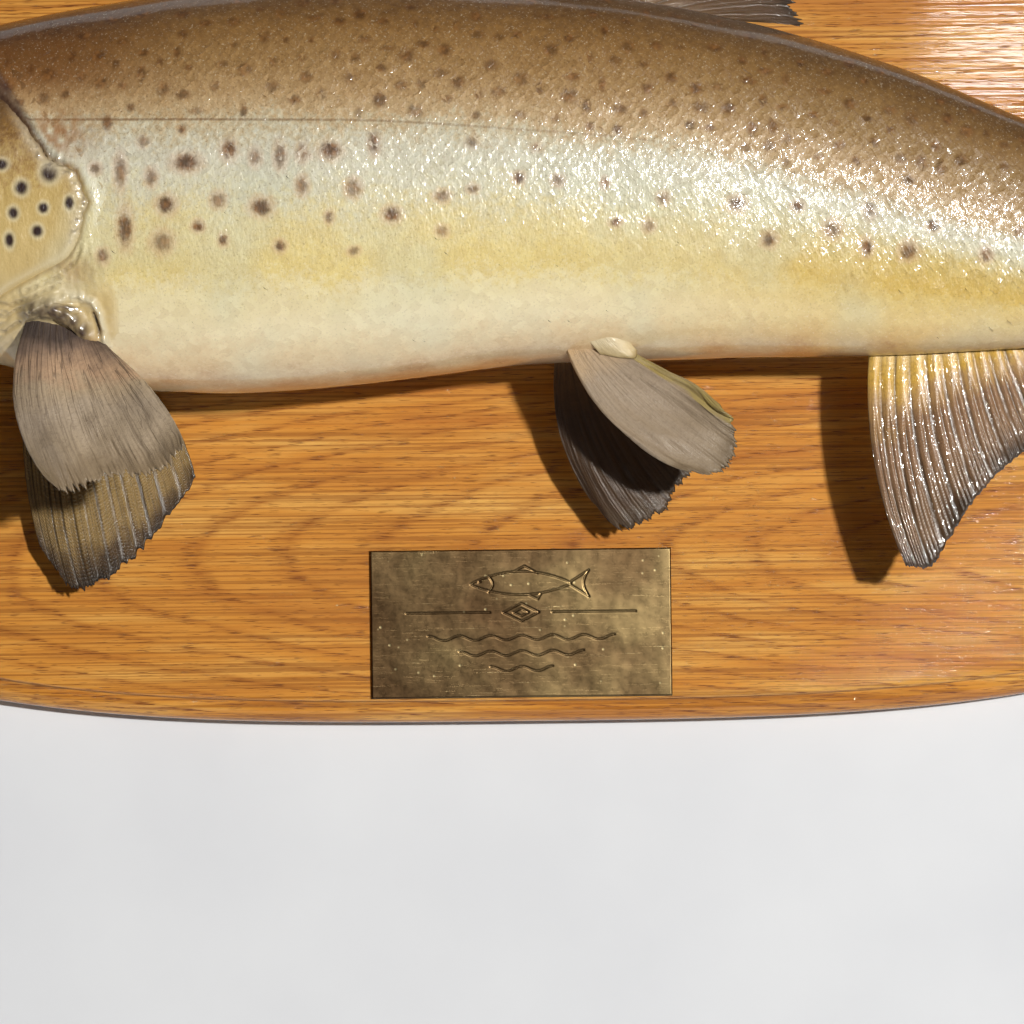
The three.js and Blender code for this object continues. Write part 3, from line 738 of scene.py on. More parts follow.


# The large spots by which a keeper of the river would know this fish, listed by column and row in
# a frame of 1024 by 1024, then length and height in mm.
FRAME = 1024
FLANK_SPOTS = seen_spots([
    (107, 122, 4, 6), (143, 141, 4, 4), (95, 168, 4, 4), (120, 171, 4, 11), (151, 177, 4, 6),
    (186, 162, 9, 6), (166, 205, 6, 6), (218, 200, 5, 5), (125, 229, 5, 12), (162, 242, 7, 7),
    (198, 226, 4, 4), (223, 240, 3, 4), (103, 256, 4, 5), (182, 129, 3, 4), (229, 149, 5, 7),
    (255, 157, 4, 6), (280, 155, 4, 9), (302, 152, 4, 6), (330, 150, 7, 6), (261, 207, 7, 6),
    (302, 186, 4, 6), (353, 188, 5, 6), (329, 217, 3, 4), (392, 214, 6, 5), (280, 246, 4, 4),
    (354, 251, 4, 3), (374, 142, 4, 8), (442, 231, 4, 4), (442, 196, 5, 4), (472, 142, 4, 4),
    (473, 189, 4, 3), (519, 178, 4, 4), (558, 180, 4, 4), (605, 183, 3, 4), (537, 147, 4, 3),
    (663, 198, 4, 4), (616, 222, 4, 3), (649, 226, 4, 4), (737, 204, 6, 5), (769, 240, 5, 5),
    (798, 206, 4, 4), (832, 229, 6, 6), (870, 209, 4, 6), (867, 247, 4, 6), (909, 251, 6, 6),
    (934, 225, 5, 4), (986, 255, 4, 5), (909, 180, 5, 4),
])
BACK_SPOTS = seen_spots([
    (671, 77, 5, 5), (696, 88, 5, 5), (672, 103, 5, 4), (644, 113, 4, 4), (569, 38, 4, 4),
    (626, 21, 4, 4), (644, 64, 4, 3), (874, 142, 4, 4), (840, 145, 5, 4), (690, 125, 4, 4),
    (618, 129, 4, 4), (590, 126, 4, 4),
])
GILL_COVER_SPOTS = seen_spots([
    (50, 173, 6.4, 6.8), (22, 188, 4.8, 5.2), (70, 203, 3.4, 5.2), (44, 208, 3.8, 4.0),
    (14, 213, 3.8, 4.4), (38, 231, 4.2, 4.4), (10, 240, 3.4, 5.4), (2, 165, 5, 4),
])
GILL_COVER_SPOTS += [(-212, 11, 4, 4.5), (-214, 36, 3.6, 3.6)]  # two more ahead of the frame, by x and z


def scatter(seed, count, x_range, z_range, size, apart, kept):
    """Seeded spots that keep their distance from each other and from those already placed."""
    draw = np.random.default_rng(seed)
    placed = [(spot[0], spot[1]) for spot in kept]
    made = []
    for _ in range(count * 12):
        if len(made) == count:
            break
        x, z = draw.uniform(*x_range), draw.uniform(*z_range)
        length, height = draw.uniform(*size), draw.uniform(*size)
        near_top = top_at(x) - 2
        if z > near_top or z < bottom_at(x) + 30:
            continue
        if all(math.hypot(x - a, z - b) > apart for a, b in placed):
            placed.append((x, z))
            made.append((x, z, length, height))
    return made


near_back = scatter(3, 235, (-205, 300), (20, 103), (2.6, 6.4), 7.8, FLANK_SPOTS + BACK_SPOTS)
near_back = [spot for spot in near_back if spot[1] > lateral_line_at(spot[0]) + 3]
near_low = scatter(4, 26, (190, 312), (-40, 10), (3, 5), 11, FLANK_SPOTS)
far_back = scatter(5, 320, (-205, 300), (20, 103), (2.2, 4.4), 6.2, [])
far_back = [spot for spot in far_back if spot[1] > lateral_line_at(spot[0]) + 2]
far_flank = scatter(6, 90, (-168, 312), (-15, 40), (3.4, 6.5), 12, [])
head_spots = scatter(7, 46, (-322, -214), (20, 88), (2.4, 4.4), 8, GILL_COVER_SPOTS)


def spot_rows(spots, side, ink):
    """Centres on the skin, half sizes and strengths of spots: side 1 is the near flank, -1 the far one.

    An ink of less than 1 is spread unevenly, so that some spots are fainter than others."""
    x, z, length, height = np.array(spots, float).T
    centre = body_point(x, side * angle_at(x, z))
    strength = ink if ink == 1.0 else ink * (0.84 + 0.16 * np.sin(1.9 * x + 1.3 * z))
    return np.column_stack([centre, length / 2, height / 2, np.full(len(x), strength)])


INKS = [  # spots, side and how strong
    (FLANK_SPOTS, 1, 0.9), (BACK_SPOTS, 1, 0.8), (near_back, 1, 0.72), (near_low, 1, 0.75),
    (far_back, -1, 0.55), (far_flank, -1, 0.85), (GILL_COVER_SPOTS, 1, 1.0), (GILL_COVER_SPOTS, -1, 1.0),
    (head_spots, 1, 0.62), (head_spots, -1, 0.62),
]
SPOTS = np.concatenate([spot_rows(*row) for row in INKS])
REACH_OF_A_SPOT = 3.0  # the field is only followed this many spot radii out


def spot_fields(points):
    """For each point, the distance to the nearest spot in radii of that spot, and the spot's strength."""
    nearest = np.full(len(points), REACH_OF_A_SPOT)
    ink = np.zeros(len(points))
    order = np.argsort(points[:, 0])
    sorted_x = points[order, 0]
    for x, y, z, half_length, half_height, strength in SPOTS:
        first, last = np.searchsorted(
            sorted_x, [x - REACH_OF_A_SPOT * half_length, x + REACH_OF_A_SPOT * half_length]
        )
        chosen = order[first:last]
        away = points[chosen] - (x, y, z)
        down = np.hypot(away[:, 1], away[:, 2])
        distance = np.hypot(away[:, 0] / half_length, down / half_height)
        closer = distance < nearest[chosen]
        nearest[chosen[closer]] = distance[closer]
        ink[chosen[closer]] = strength
    return nearest, ink


def markings(points):
    """The painted fields of the body at points on it: tone, lateral, spot and ink."""
    x, z = points[:, 0], points[:, 2]
    top, bottom, _ = section(x)
    line = np.clip(lateral_line_at(x), bottom + 2, top - 2)
    above = (z - line) / np.maximum(top - line, 1)
    below = (z - line) / np.maximum(line - bottom, 1)
    spot, ink = spot_fields(points)
    return {
        "tone": np.clip(np.where(z > line, above, below), -1, 1), "lateral": (z - line) / 10, "spot": spot,
        "ink": ink,
    }


def body_marks(points, **fields):
    """The markings at the points of a grid with the fields that were sculpted there, each as one long row."""
    fields = {"rim": 0.0, "own": 0.4} | fields
    rows = {name: np.broadcast_to(values, points.shape[:-1]).ravel() for name, values in fields.items()}
    return markings(points.reshape(-1, 3)) | rows


print("spots:", len(SPOTS))

# %% [markdown]
# ## Lacquered skin
#
# Dried fish skin loses its colour, so the painter mists it back in thin coats: olive brown over the
# back, a silver-green bloom under the lateral line, straw yellow below and cream on the belly. Thick
# gloss lacquer then gives every scale its own small highlight. The shader follows that order: a ramp
# for the misted coats, speckle, spots with pale halos, the lateral line, dark skin and painted shade in
# creases, then a clear coat over all. Besides the four fields of the markings it reads six that are
# sculpted: bare head, dark skin with painted shade in creases, pale patches, tan patches of rust and of
# painted shade in a hollow, the rim of a scale, and a shade that is each scale's own.

# %% Painted skin
def painted_skin():
    """Airbrushed trout skin under wet gloss lacquer: a ramp from ridge to belly, soft spots, a thin line."""
    finish = bpy.data.materials.new("painted trout skin, gloss lacquer")
    add = start(finish)
    place = add("TexCoord", out="Object")
    mm = add("VectorMath", {0: place, 1: (1000, 1000, 1000)}, **TIMES)
    x = add("SeparateXYZ", {0: mm}, out="X")
    tone, lateral, spot, ink, head, crease, pale, tan, rim, own = (
        add("Attribute", attribute_name=name, out="Fac")
        for name in ("tone", "lateral", "spot", "ink", "head", "crease", "pale", "tan", "rim", "own")
    )

    # the coats: clouds 20 mm wide and stipple 1 to 3 mm wide push the borders of the ramp up and down
    cloud = add("TexNoise", {"Vector": mm, "Scale": 0.05, "Detail": 3.0})
    mottle = add("TexNoise", {"Vector": mm, "Scale": 0.36, "Detail": 4.0, "Roughness": 0.7})
    height = add("Math", {0: cloud, 1: 0.16, 2: tone}, operation="MULTIPLY_ADD")
    finer = add("MapRange", {"Value": tone}, span=(-0.95, -0.3), to=(0.1, 0.46))
    jitter = add("Math", {0: mottle, 1: 0.5}, operation="SUBTRACT")
    height = add("Math", {0: jitter, 1: finer, 2: height}, operation="MULTIPLY_ADD")
    share = add("MapRange", {"Value": height}, span=(-0.92, 1.08))
    # the first stops darken the lowest edge of the belly: painted shade where the belly turns under
    body = add("ValToRGB", {0: share}, stops=[
        (0.0, "#c79a6c"), (0.04, "#e8cda0"), (0.1, "#f2e4bc"), (0.17, "#efe2b4"), (0.22, "#e6d189"),
        (0.31, "#e4d6a0"), (0.38, "#dfdbbf"), (0.44, "#dddbc8"), (0.48, "#d2c8aa"), (0.53, "#c9af86"),
        (0.6, "#ba9a6d"), (0.7, "#a78454"), (0.82, "#926d3e"), (0.92, "#6a4a26"), (1.0, "#513921")])
    skull = add("ValToRGB", {0: share}, stops=[
        (0.0, "#d2ba8e"), (0.14, "#d4bc84"), (0.28, "#d3b97a"), (0.37, "#c8ac6b"), (0.44, "#a8854e"),
        (0.48, "#856233"), (0.56, "#6c5030"), (0.7, "#59442b"), (1.0, "#43341f")])
    colour = add("Mix", {0: head, 6: body, 7: skull}, **MIX)
    # the brush was loaded differently along the fish: brown over the nape, straw on the rear flank
    to_nape = add("MapRange", {"Value": x}, span=(-120.0, -188.0), **SOFT)
    high = add("MapRange", {"Value": tone}, span=(0.08, 0.4), to=(0.0, 0.85), **SOFT)
    nape = add("Math", {0: to_nape, 1: high}, **TIMES)
    colour = add("Mix", {0: nape, 6: colour, 7: (0.55, 0.38, 0.28, 1)}, **SHADE)
    to_tail = add("MapRange", {"Value": x}, span=(0.0, 150.0), **SOFT)
    low = add("MapRange", {"Value": tone}, span=(-0.08, -0.38), **SOFT)
    straw = add("Math", {0: to_tail, 1: low}, **TIMES)
    colour = add("Mix", {0: straw, 6: colour, 7: (0.87, 0.76, 0.5, 1)}, **SHADE)
    dorsal = add("MapRange", {"Value": tone}, span=(0.1, 0.5), to=(0.0, 0.75), **SOFT)
    slate = add("Math", {0: to_tail, 1: dorsal}, **TIMES)
    colour = add("Mix", {0: slate, 6: colour, 7: (0.86, 0.93, 1.0, 1)}, **SHADE)
    drift = add("TexNoise", {"Vector": mm, "Scale": 0.024, "Detail": 2.0})
    drift = add("MapRange", {"Value": drift}, span=(0.42, 0.7), to=(0.0, 0.32), **SOFT)
    under_line = add("MapRange", {"Value": tone}, span=(0.06, -0.2), **SOFT)
    silver = add("Math", {0: drift, 1: under_line}, **TIMES)
    colour = add("Mix", {0: silver, 6: colour, 7: paint("#d3d9c4")}, **MIX)
    # every scale has a shade of its own and a darker rim, which shows most on the back
    shade = add("Math", {0: own, 1: 0.24}, **TIMES)
    colour = add("Mix", {0: shade, 6: colour, 7: (0.62, 0.52, 0.42, 1)}, **SHADE)
    up = add("MapRange", {"Value": tone}, span=(-0.5, 0.4), to=(0.02, 0.3))
    dark_rim = add("Math", {0: rim, 1: up}, **TIMES)
    colour = add("Mix", {0: dark_rim, 6: colour, 7: paint("#6b4f30")}, **MIX)
    # pepper and salt: specks a third of a millimetre to a millimetre across
    speck = add("TexNoise", {"Vector": mm, "Scale": 1.1, "Detail": 3.0, "Roughness": 0.65})
    dusty = add("MapRange", {"Value": tone}, span=(-0.9, 0.15), to=(0.15, 0.62))
    bare = add("MapRange", {"Value": head}, to=(1.0, 0.35))
    dusty = add("Math", {0: dusty, 1: bare}, **TIMES)
    pepper = add("MapRange", {"Value": speck}, span=(0.56, 0.7), **SOFT)
    pepper = add("Math", {0: pepper, 1: dusty}, **TIMES)
    colour = add("Mix", {0: pepper, 6: colour, 7: paint("#6a4d2c")}, **MIX)
    salt = add("MapRange", {"Value": speck}, span=(0.42, 0.3), to=(0.0, 0.34), **SOFT)
    salt = add("Math", {0: salt, 1: bare}, **TIMES)
    colour = add("Mix", {0: salt, 6: colour, 7: paint("#efe5cc")}, **MIX)
    # spots: warm brown and blotchy on the body, nearly black with a pale halo on the gill cover
    scaled = add("Math", {0: 1.0, 1: head}, operation="SUBTRACT")
    fray = add("Math", {0: mottle, 1: 1.3, 2: -0.65}, operation="MULTIPLY_ADD")
    loose = add("MapRange", {"Value": scaled}, to=(0.3, 1.0))
    fray = add("Math", {0: fray, 1: loose}, **TIMES)
    ragged = add("Math", {0: spot, 1: fray}, operation="ADD")
    halo = add("MapRange", {"Value": ragged}, span=(2.1, 1.1), to=(0.0, 0.5), **SOFT)
    strong = add("MapRange", {"Value": ink}, span=(0.84, 0.98), **SOFT)
    halo = add("Math", {0: halo, 1: strong}, **TIMES)
    colour = add("Mix", {0: halo, 6: colour, 7: paint("#e6dcba")}, **MIX)
    rosy = add("MapRange", {"Value": ragged}, span=(2.3, 1.2), to=(0.0, 0.3), **SOFT)
    rosy = add("Math", {0: rosy, 1: under_line}, **TIMES)
    rosy = add("Math", {0: rosy, 1: scaled}, **TIMES)
    colour = add("Mix", {0: rosy, 6: colour, 7: paint("#c99a80")}, **MIX)
    disc = add("MapRange", {"Value": ragged}, span=(1.5, 0.5), **SOFT)
    disc = add("Math", {0: disc, 1: ink}, **TIMES)
    blotch = add("TexNoise", {"Vector": mm, "Scale": 0.34, "Detail": 2.0, "Roughness": 0.5})
    brown = add("ValToRGB", {0: blotch}, stops=[(0.36, "#42250e"), (0.5, "#5f3a1a"), (0.66, "#8a5c30")])
    pigment = add("Mix", {0: head, 6: brown, 7: paint("#30201f")}, **MIX)
    colour = add("Mix", {0: disc, 6: colour, 7: pigment}, **MIX)
    # the lateral line: thin, dark and broken
    off_line = add("Math", {0: lateral}, operation="ABSOLUTE")
    broken = add("MapRange", {"Value": mottle}, span=(0.2, 0.5), **SOFT)
    fading = add("MapRange", {"Value": x}, span=(-140.0, 80.0), to=(0.66, 0.2))
    broken = add("Math", {0: broken, 1: fading}, **TIMES)
    line = add("MapRange", {"Value": off_line}, span=(0.075, 0.02), **SOFT)
    line = add("Math", {0: line, 1: broken}, **TIMES)
    line = add("Math", {0: line, 1: scaled}, **TIMES)
    colour = add("Mix", {0: line, 6: colour, 7: paint("#6f4c2a")}, **MIX)
    # the last, darkest coat is dark skin on the nape fold and fin root, and painted shade in creases, slits,
    # the mouth, nostrils and round the eyes; the tan coat is rust stains, and painted shade in one hollow
    for share, coat in ((tan, "#9a6a3c"), (pale, "#dcd2b4"), (crease, "#38272a")):
        colour = add("Mix", {0: share, 6: colour, 7: paint(coat)}, **MIX)

    # lacquer pools between the scales and over the grain, in ripples 1 to 3 mm wide
    combed = add("VectorMath", {0: place, 1: (760, 760, 400)}, **TIMES)
    lacquer = add("TexNoise", {"Vector": combed, "Scale": 1.0, "Detail": 2.5, "Roughness": 0.55})
    edgeward = add("Math", {0: tone}, operation="ABSOLUTE")
    depth = add("MapRange", {"Value": edgeward}, span=(0.5, 0.76), to=(0.75, 0.05))
    pooled = add("Bump", {"Strength": depth, "Distance": 0.00042, "Height": lacquer})
    rough = add("MapRange", {"Value": mottle}, span=(0.3, 0.7), to=(0.34, 0.52))
    surface = add("BsdfPrincipled", {
        "Base Color": colour, "Roughness": rough, "Specular IOR Level": 0.5, "Normal": pooled,
        "Coat Weight": 1.0, "Coat Roughness": 0.09, "Coat IOR": 1.5, "Coat Normal": pooled})
    add("OutputMaterial", {"Surface": surface})
    return finish


skin_paint = painted_skin()

# %% [markdown]
# ## Features of the head
#
# A sculptor of fish works from lines: the mouth, the edge of the cheek bone, the gill opening, the
# folds of the throat. Here each line is a path in the side view, and the skin is pushed in or out by a
# falloff of the distance to it. A hollow with soft shoulders reads as a crease, and a step as the
# edge of a bone.
# Along most of these lines the hollow is also painted darker, as painted shade.

# %% Paths in the side view
MOUTH = [(-333, 9.5), (-323, 10), (-308, 8), (-287, 3), (-267, -3), (-250, -9), (-238, -15)]
CHEEK_BONE = [(-221, 52), (-226, 30), (-229, 6), (-234, -12), (-245, -24), (-263, -31)]
JAW_BONE = [(-324, -4), (-302, -14), (-272, -26), (-246, -35), (-232, -40)]
NAPE_FOLD = [
    (-224, 72), (-214, 63), (-206.6, 54), (-201.6, 48.6), (-196.3, 42.6), (-191.8, 35.8), (-186.2, 28.1),
    (-182, 24.9),
]
GILL_COVER = [  # bone down to its soft lower ridge, with the wet membrane behind its upper half
    (-222, 62), (-209, 54), (-199.5, 45.5), (-192.5, 35.5), (-186, 26.6), (-179.8, 24), (-176, 21),
    (-173.1, 14), (-171.4, 8.4), (-173.9, 2.6), (-175, -3.6), (-180, -11.9), (-190.2, -17.4),
    (-202, -23.5), (-216, -32), (-228, -40), (-234.5, -33), (-227, -15), (-222, 10), (-223, 38),
]
NOSTRILS = [(-311, 37.6), (-306.4, 38.6)]
# round the root of the pectoral fin: the line where the rays come out, the pale flange above it, and the
# slits and lumps of the dried flesh
FIN_LINE = [
    (-204, -38), (-197, -36.1), (-192, -34.7), (-186, -35.5), (-180.2, -38.7), (-176.4, -42.7),
    (-172.8, -48.2), (-168, -53),
]
FLANGE = [
    (-195.5, -32), (-191, -29.6), (-187.6, -28.7), (-180.6, -26.9), (-175.4, -27.4), (-170.3, -29.8),
    (-167.8, -34), (-166.7, -39.4), (-165.6, -46.5),
]
SLITS = [
    [(-184.4, -30.2), (-180.5, -31.0), (-176.6, -32.4)], [(-170.4, -34.2), (-169.2, -37.4), (-168.2, -41.5)]
]
LUMPS = [
    (-194, -32.9, 2.2), (-189.6, -33.4, 2.6), (-185.4, -33.6, 2.3), (-181.6, -35.8, 2.5), (-178, -38.4, 2.4),
    (-174.6, -42.2, 2.3), (-187.4, -31.6, 1.5),
]
FAR_SHIFT = (-6.0, -7.0)  # the far fin is rooted a little further forward and lower
WRINKLES = [
    [(-216, -28), (-204, -30.5), (-193, -26.2), (-184, -22.8)],
    [(-216, -34), (-206, -35), (-199, -30.8), (-190, -27.8)],
    [(-214, -40), (-207, -40.6), (-200.5, -37)],
    [(-197, -24.6), (-189, -21.6), (-183, -19.6)],
    [(-181.5, -17.5), (-176.6, -13.4), (-174.4, -8)],
]
EYE = {"x": -284.0, "z": 35.0, "radius": 9.5, "half_depth": 5.2, "proud": 2.6}
FIRST_SCALES = [
    (-66, -192), (-54, -176), (-42, -164.5), (-28, -164.5), (-16.5, -166), (-8, -171), (3, -172.5),
    (12, -169.5), (25, -176), (36, -187), (48, -197), (61, -207), (80, -214), (103, -217),
]


def closed_curve(corners, count):
    """A smooth loop through corners: between two of them a cubic whose slopes come from their neighbours."""
    corners = np.asarray(corners, float)
    at = np.linspace(0, len(corners), count + 1)[:-1]
    i = at.astype(int)
    t = (at - i)[:, None]
    a, b, c, d = (corners[(i + shift) % len(corners)] for shift in (-1, 0, 1, 2))
    return 0.5 * (2 * b + (c - a) * t + (2 * a - 5 * b + 4 * c - d) * t**2 + (3 * b - a - 3 * c + d) * t**3)


def off_loop(x, z, loop):
    """Distance to a closed outline, negative inside, where a ray crosses an odd number of its sides."""
    closed = np.concatenate([loop, loop[:1]])
    inside = np.zeros(np.shape(x), bool)
    for (ax, az), (bx, bz) in zip(closed[:-1], closed[1:]):
        if az != bz:
            crosses = ((az > z) != (bz > z)) & (x < ax + (bx - ax) * (z - az) / (bz - az))
            inside ^= crosses
    return np.where(inside, -1, 1) * off_path(x, z, closed)


def frayed(loop, seed, depth):
    """The loop with its points moved in and out by soft noise, as dried membrane shrinks unevenly."""
    ahead = np.roll(loop, -1, 0) - np.roll(loop, 1, 0)
    normal = unit(np.stack([ahead[:, 1], -ahead[:, 0]], -1))
    soft = ease(-214, -196, loop[:, 0]) * ease(-12, 0, loop[:, 1])
    wave = ripple(loop[:, 0], loop[:, 1], seed, 7.0) + 0.5 * ripple(loop[:, 0], loop[:, 1], seed + 1, 3.0)
    return loop + normal * (depth * soft * wave)[:, None]


GILL_LOOP = frayed(closed_curve(GILL_COVER, 300), 37, 0.55)
mouth_height = through(MOUTH, 1)


def scale_cover(x, z):
    """0 on the bare head and 1 where the scales have closed up, behind a line from nape to throat."""
    edge = lines_at(z, FIRST_SCALES)
    return ease(0, 7, x - edge)


def unevenness(points):
    """Slow swellings of a few tenths of a millimetre, which every stretched skin has."""
    x, y, z = points[..., 0], points[..., 1], points[..., 2]
    return 0.32 * ripple(x, z, 21, 70) + 0.16 * ripple(x, y, 22, 45)


# %% Sculpting the skin
SCALE_BED = 0.42  # how deep the skin lies under the tips of the scales


def rust(x, z):
    """Rusty stains where oil has come through the skin behind the nape, in patches a few mm wide."""
    patch = np.hypot((x + 184) / 14.0, (z - 37) / 10.0)
    return 0.9 * bump(patch, 1.0) * ease(-1.3, 0.4, ripple(x, z, 44, 4.5))


def shoulder(x, z):
    """Flesh dried round the root of the pectoral fin: its lift, dark, pale and tan, with painted shade in
    slits, wrinkles and a hollow.
    """
    above = z - lines_at(x, FIN_LINE)
    window = ease(-202, -195, x) * ease(-161.5, -167.5, x)
    rough = ripple(x, z, 31, 4.6) + 0.6 * ripple(x, z, 32, 2.4)
    lift = 2.9 * window * ease(-1.6, 1.6, above) * ease(14.5, 5.5, above) * ease(-163, -170, x)
    dark = 0.9 * window * bump(above - 3.0, 3.4) * (0.85 + 0.15 * rough) * ease(-172, -178, x)
    for at_x, at_z, size in LUMPS:
        away = np.hypot(x - at_x, z - at_z - 2.6)
        lift = lift + 1.2 * bump(away, size)
        dark = np.maximum(dark, (0.9 + 0.1 * rough) * bump(away, size * 1.4))
    ridge = off_path(x, z, FLANGE)
    lift = lift + (1.5 + 0.45 * rough) * bump(ridge, 1.4) + 0.3 * rough * window * bump(above - 4, 5)
    shaded = 1 - 0.8 * np.clip(dark, 0, 1) * (x < -172)
    light = np.clip((0.85 + 0.3 * rough) * bump(ridge, 1.7), 0, 0.8) * shaded
    for slit in SLITS:
        cut = off_path(x, z, slit)
        lift = lift - 1.6 * bump(cut, 0.75)
        # painted shade in the slits
        dark, light = np.maximum(dark, 0.95 * bump(cut, 0.7)), light * (1 - bump(cut, 1.0))
    for path in WRINKLES:
        cut = off_path(x, z, path)
        lift = lift - 0.7 * bump(cut, 0.7) + 0.35 * bump(cut - 1.5, 0.9)
        # painted shade in the wrinkles
        dark = np.maximum(dark, 0.5 * bump(cut, 0.65) * (0.7 + 0.3 * rough))
    tan_patch = 0.75 * bump(np.hypot((x + 171.6) / 4.6, (z + 46.2) / 4.2), 1.0)
    # a hollow behind the lower corner of the gill cover: its bare skin is painted tan brown as painted shade;
    # the other tan spot is rust
    hollow = bump(np.hypot((x + 177) / 9.0, (z + 17.5) / 6.0), 1.0)
    return lift - 0.9 * hollow, dark, light, np.maximum(tan_patch, (0.5 + 0.1 * rough) * hollow)


def sculpt(points, side):
    """How far the skin is pushed out; where it is bare head, pale or tan; and where it is dark, by dark skin
    and painted shade in creases.
    """
    x, z = points[..., 0], points[..., 2]
    head = 1 - scale_cover(x, z)
    lift = unevenness(points) - SCALE_BED * (1 - head)
    crease, pale, tan = np.zeros_like(x), np.zeros_like(x), np.zeros_like(x)

    mouth = off_path(x, z, MOUTH)
    lift += -3.0 * bump(mouth, 0.95) + 0.7 * bump(mouth - 2.3, 1.3)
    # painted shade: the mouth line is darkened along its cut
    crease = np.maximum(crease, 0.95 * bump(mouth, 0.95))

    gill = off_loop(x, z, GILL_LOOP)
    rear = ease(-228, -214, x)
    lift += rear * (-1.5 * (1 - ease(-1.2, 0.9, gill)) + 0.25 * bump(gill - 3.0, 1.6))
    # painted shade: a darker line in the trench just outside the gill cover's edge
    crease = np.maximum(crease, rear * 0.3 * bump(gill - 0.6, 1.0) * (0.6 + 0.4 * ripple(x, z, 35, 6)))

    # the smooth dark fold behind the nape: a wedge of bare skin, round on top, with a crease on each side
    fold = off_path(x, z, NAPE_FOLD)
    half = 0.5 + 4.6 * ease(-186, -214, x)
    behind_eye = ease(-232, -220, x)
    inside = behind_eye * (1 - ease(half - 0.4, half + 0.9, fold))
    roundness = np.sqrt(np.clip(1 - (fold / (half + 0.9)) ** 2, 0, 1))
    lift += 1.5 * inside * roundness - 0.9 * bump(fold - half - 0.9, 0.6) * behind_eye
    # the fold's own skin is dark; the groove on each side of it gets painted shade
    stain = inside * (0.66 + 0.12 * ripple(x, z, 38, 8))
    crease = np.maximum(crease, stain + 0.5 * bump(fold - half - 0.9, 0.5) * behind_eye)

    cheek = off_path(x, z, CHEEK_BONE)
    lift += -0.8 * bump(cheek, 0.9) + 0.45 * bump(cheek - 2.6, 1.6)
    # painted shade along the groove of the cheek bone
    crease = np.maximum(crease, 0.35 * bump(cheek, 0.8))
    jaw = off_path(x, z, JAW_BONE)
    lift += -0.9 * bump(jaw, 0.9) + 0.4 * bump(jaw - 2.4, 1.4)
    # painted shade along the groove of the jaw bone
    crease = np.maximum(crease, 0.4 * bump(jaw, 0.8))

    throat = ease(-14, -26, z) * ease(-292, -262, x) * ease(-196, -216, x)
    throat = throat * ease(1.5, 4.5, gill) * ease(22, 13, gill)
    rays = np.sin(gill * 2 * math.pi / 3.4 + 0.9 * ripple(x, z, 39, 16))
    lift += throat * 0.28 * rays
    # painted shade in the troughs between the folds of the throat
    crease = np.maximum(crease, throat * 0.22 * ease(0.3, 1.0, -rays))

    for at_x, at_z in NOSTRILS:
        away = np.hypot(x - at_x, (z - at_z) * 0.8)
        lift += -1.9 * bump(away, 1.15) + 0.55 * bump(away - 2.2, 0.8)
        # painted shade in the nostrils
        crease = np.maximum(crease, 0.95 * bump(away, 1.1))

    for face in (1, -1):
        ax, az = (x, z) if face == 1 else (x - FAR_SHIFT[0], z - FAR_SHIFT[1])
        more, dark, light, tan_patch = shoulder(ax, az)
        here = (side == face) * ease(-222, -208, x)
        lift += here * more
        crease = np.maximum(crease, here * dark) * (1 - here * light)
        pale = np.maximum(pale, here * light)
        tan = np.maximum(tan, here * tan_patch)

    tan = np.maximum(tan, rust(x, z) * ease(1.0, 3.0, fold - half))
    behind = ease(0.4, 2.6, gill) * ease(-226, -214, x) * ease(-30, -18, z)
    bare = head * (0.16 * ripple(x, z, 33, 5.0) + 0.3 * ripple(x, z, 34, 17.0)) * ease(-331, -322, x)
    lift += bare
    lift += -0.22 * bump(z - lateral_line_at(x), 0.7) * (1 - head)
    return lift, head * (1 - behind), crease, pale, tan


def eye_frame(side):
    """Where the eye's middle meets the skin, and the directions along the body, up the flank and outwards."""
    angle = side * angle_at(EYE["x"], EYE["z"])
    point, along, _, out = skin_frame(np.array([EYE["x"]]), np.array([angle]))
    out = out[0]
    along = unit(along[0] - out * np.dot(along[0], out))
    up = np.cross(along, out) * side
    return point[0], along, up if up[2] > 0 else -up, out


def socket(points):
    """A round hollow for each eye with a raised fleshy rim, and painted shade in the gap round the eye."""
    lift, crease = np.zeros(points.shape[:-1]), np.zeros(points.shape[:-1])
    for side in (1, -1):
        centre, along, up, out = eye_frame(side)
        away = points - centre
        flat = np.hypot(away @ along, away @ up)
        near = np.abs(away @ out) < 12
        hollow = ease(9.4, 7.9, flat)
        lift += near * (-6.5 * hollow + 0.95 * bump(flat - 10.3, 1.1) - 0.5 * bump(flat - 13.2, 1.5))
        # painted shade in the narrow gap between the eye and its rim
        crease = np.maximum(crease, near * 0.85 * ease(9.6, 8.8, flat))
    return lift, crease


def hook(points):
    """Pushes the front of the lower lip forward and up into the kype, the hook of a cock fish."""
    x, y, z = points[..., 0], points[..., 1], points[..., 2]
    under = mouth_height(x) - z
    weight = ease(-308, -324, x) * bump(y - middle_y(x), 8.0) * ease(0.0, 5.0, under) * ease(17, 8, under)
    return weight[..., None] * np.array([-2.4, 0.0, 2.2])


# %% Skin mesh
AROUND_BODY = 224


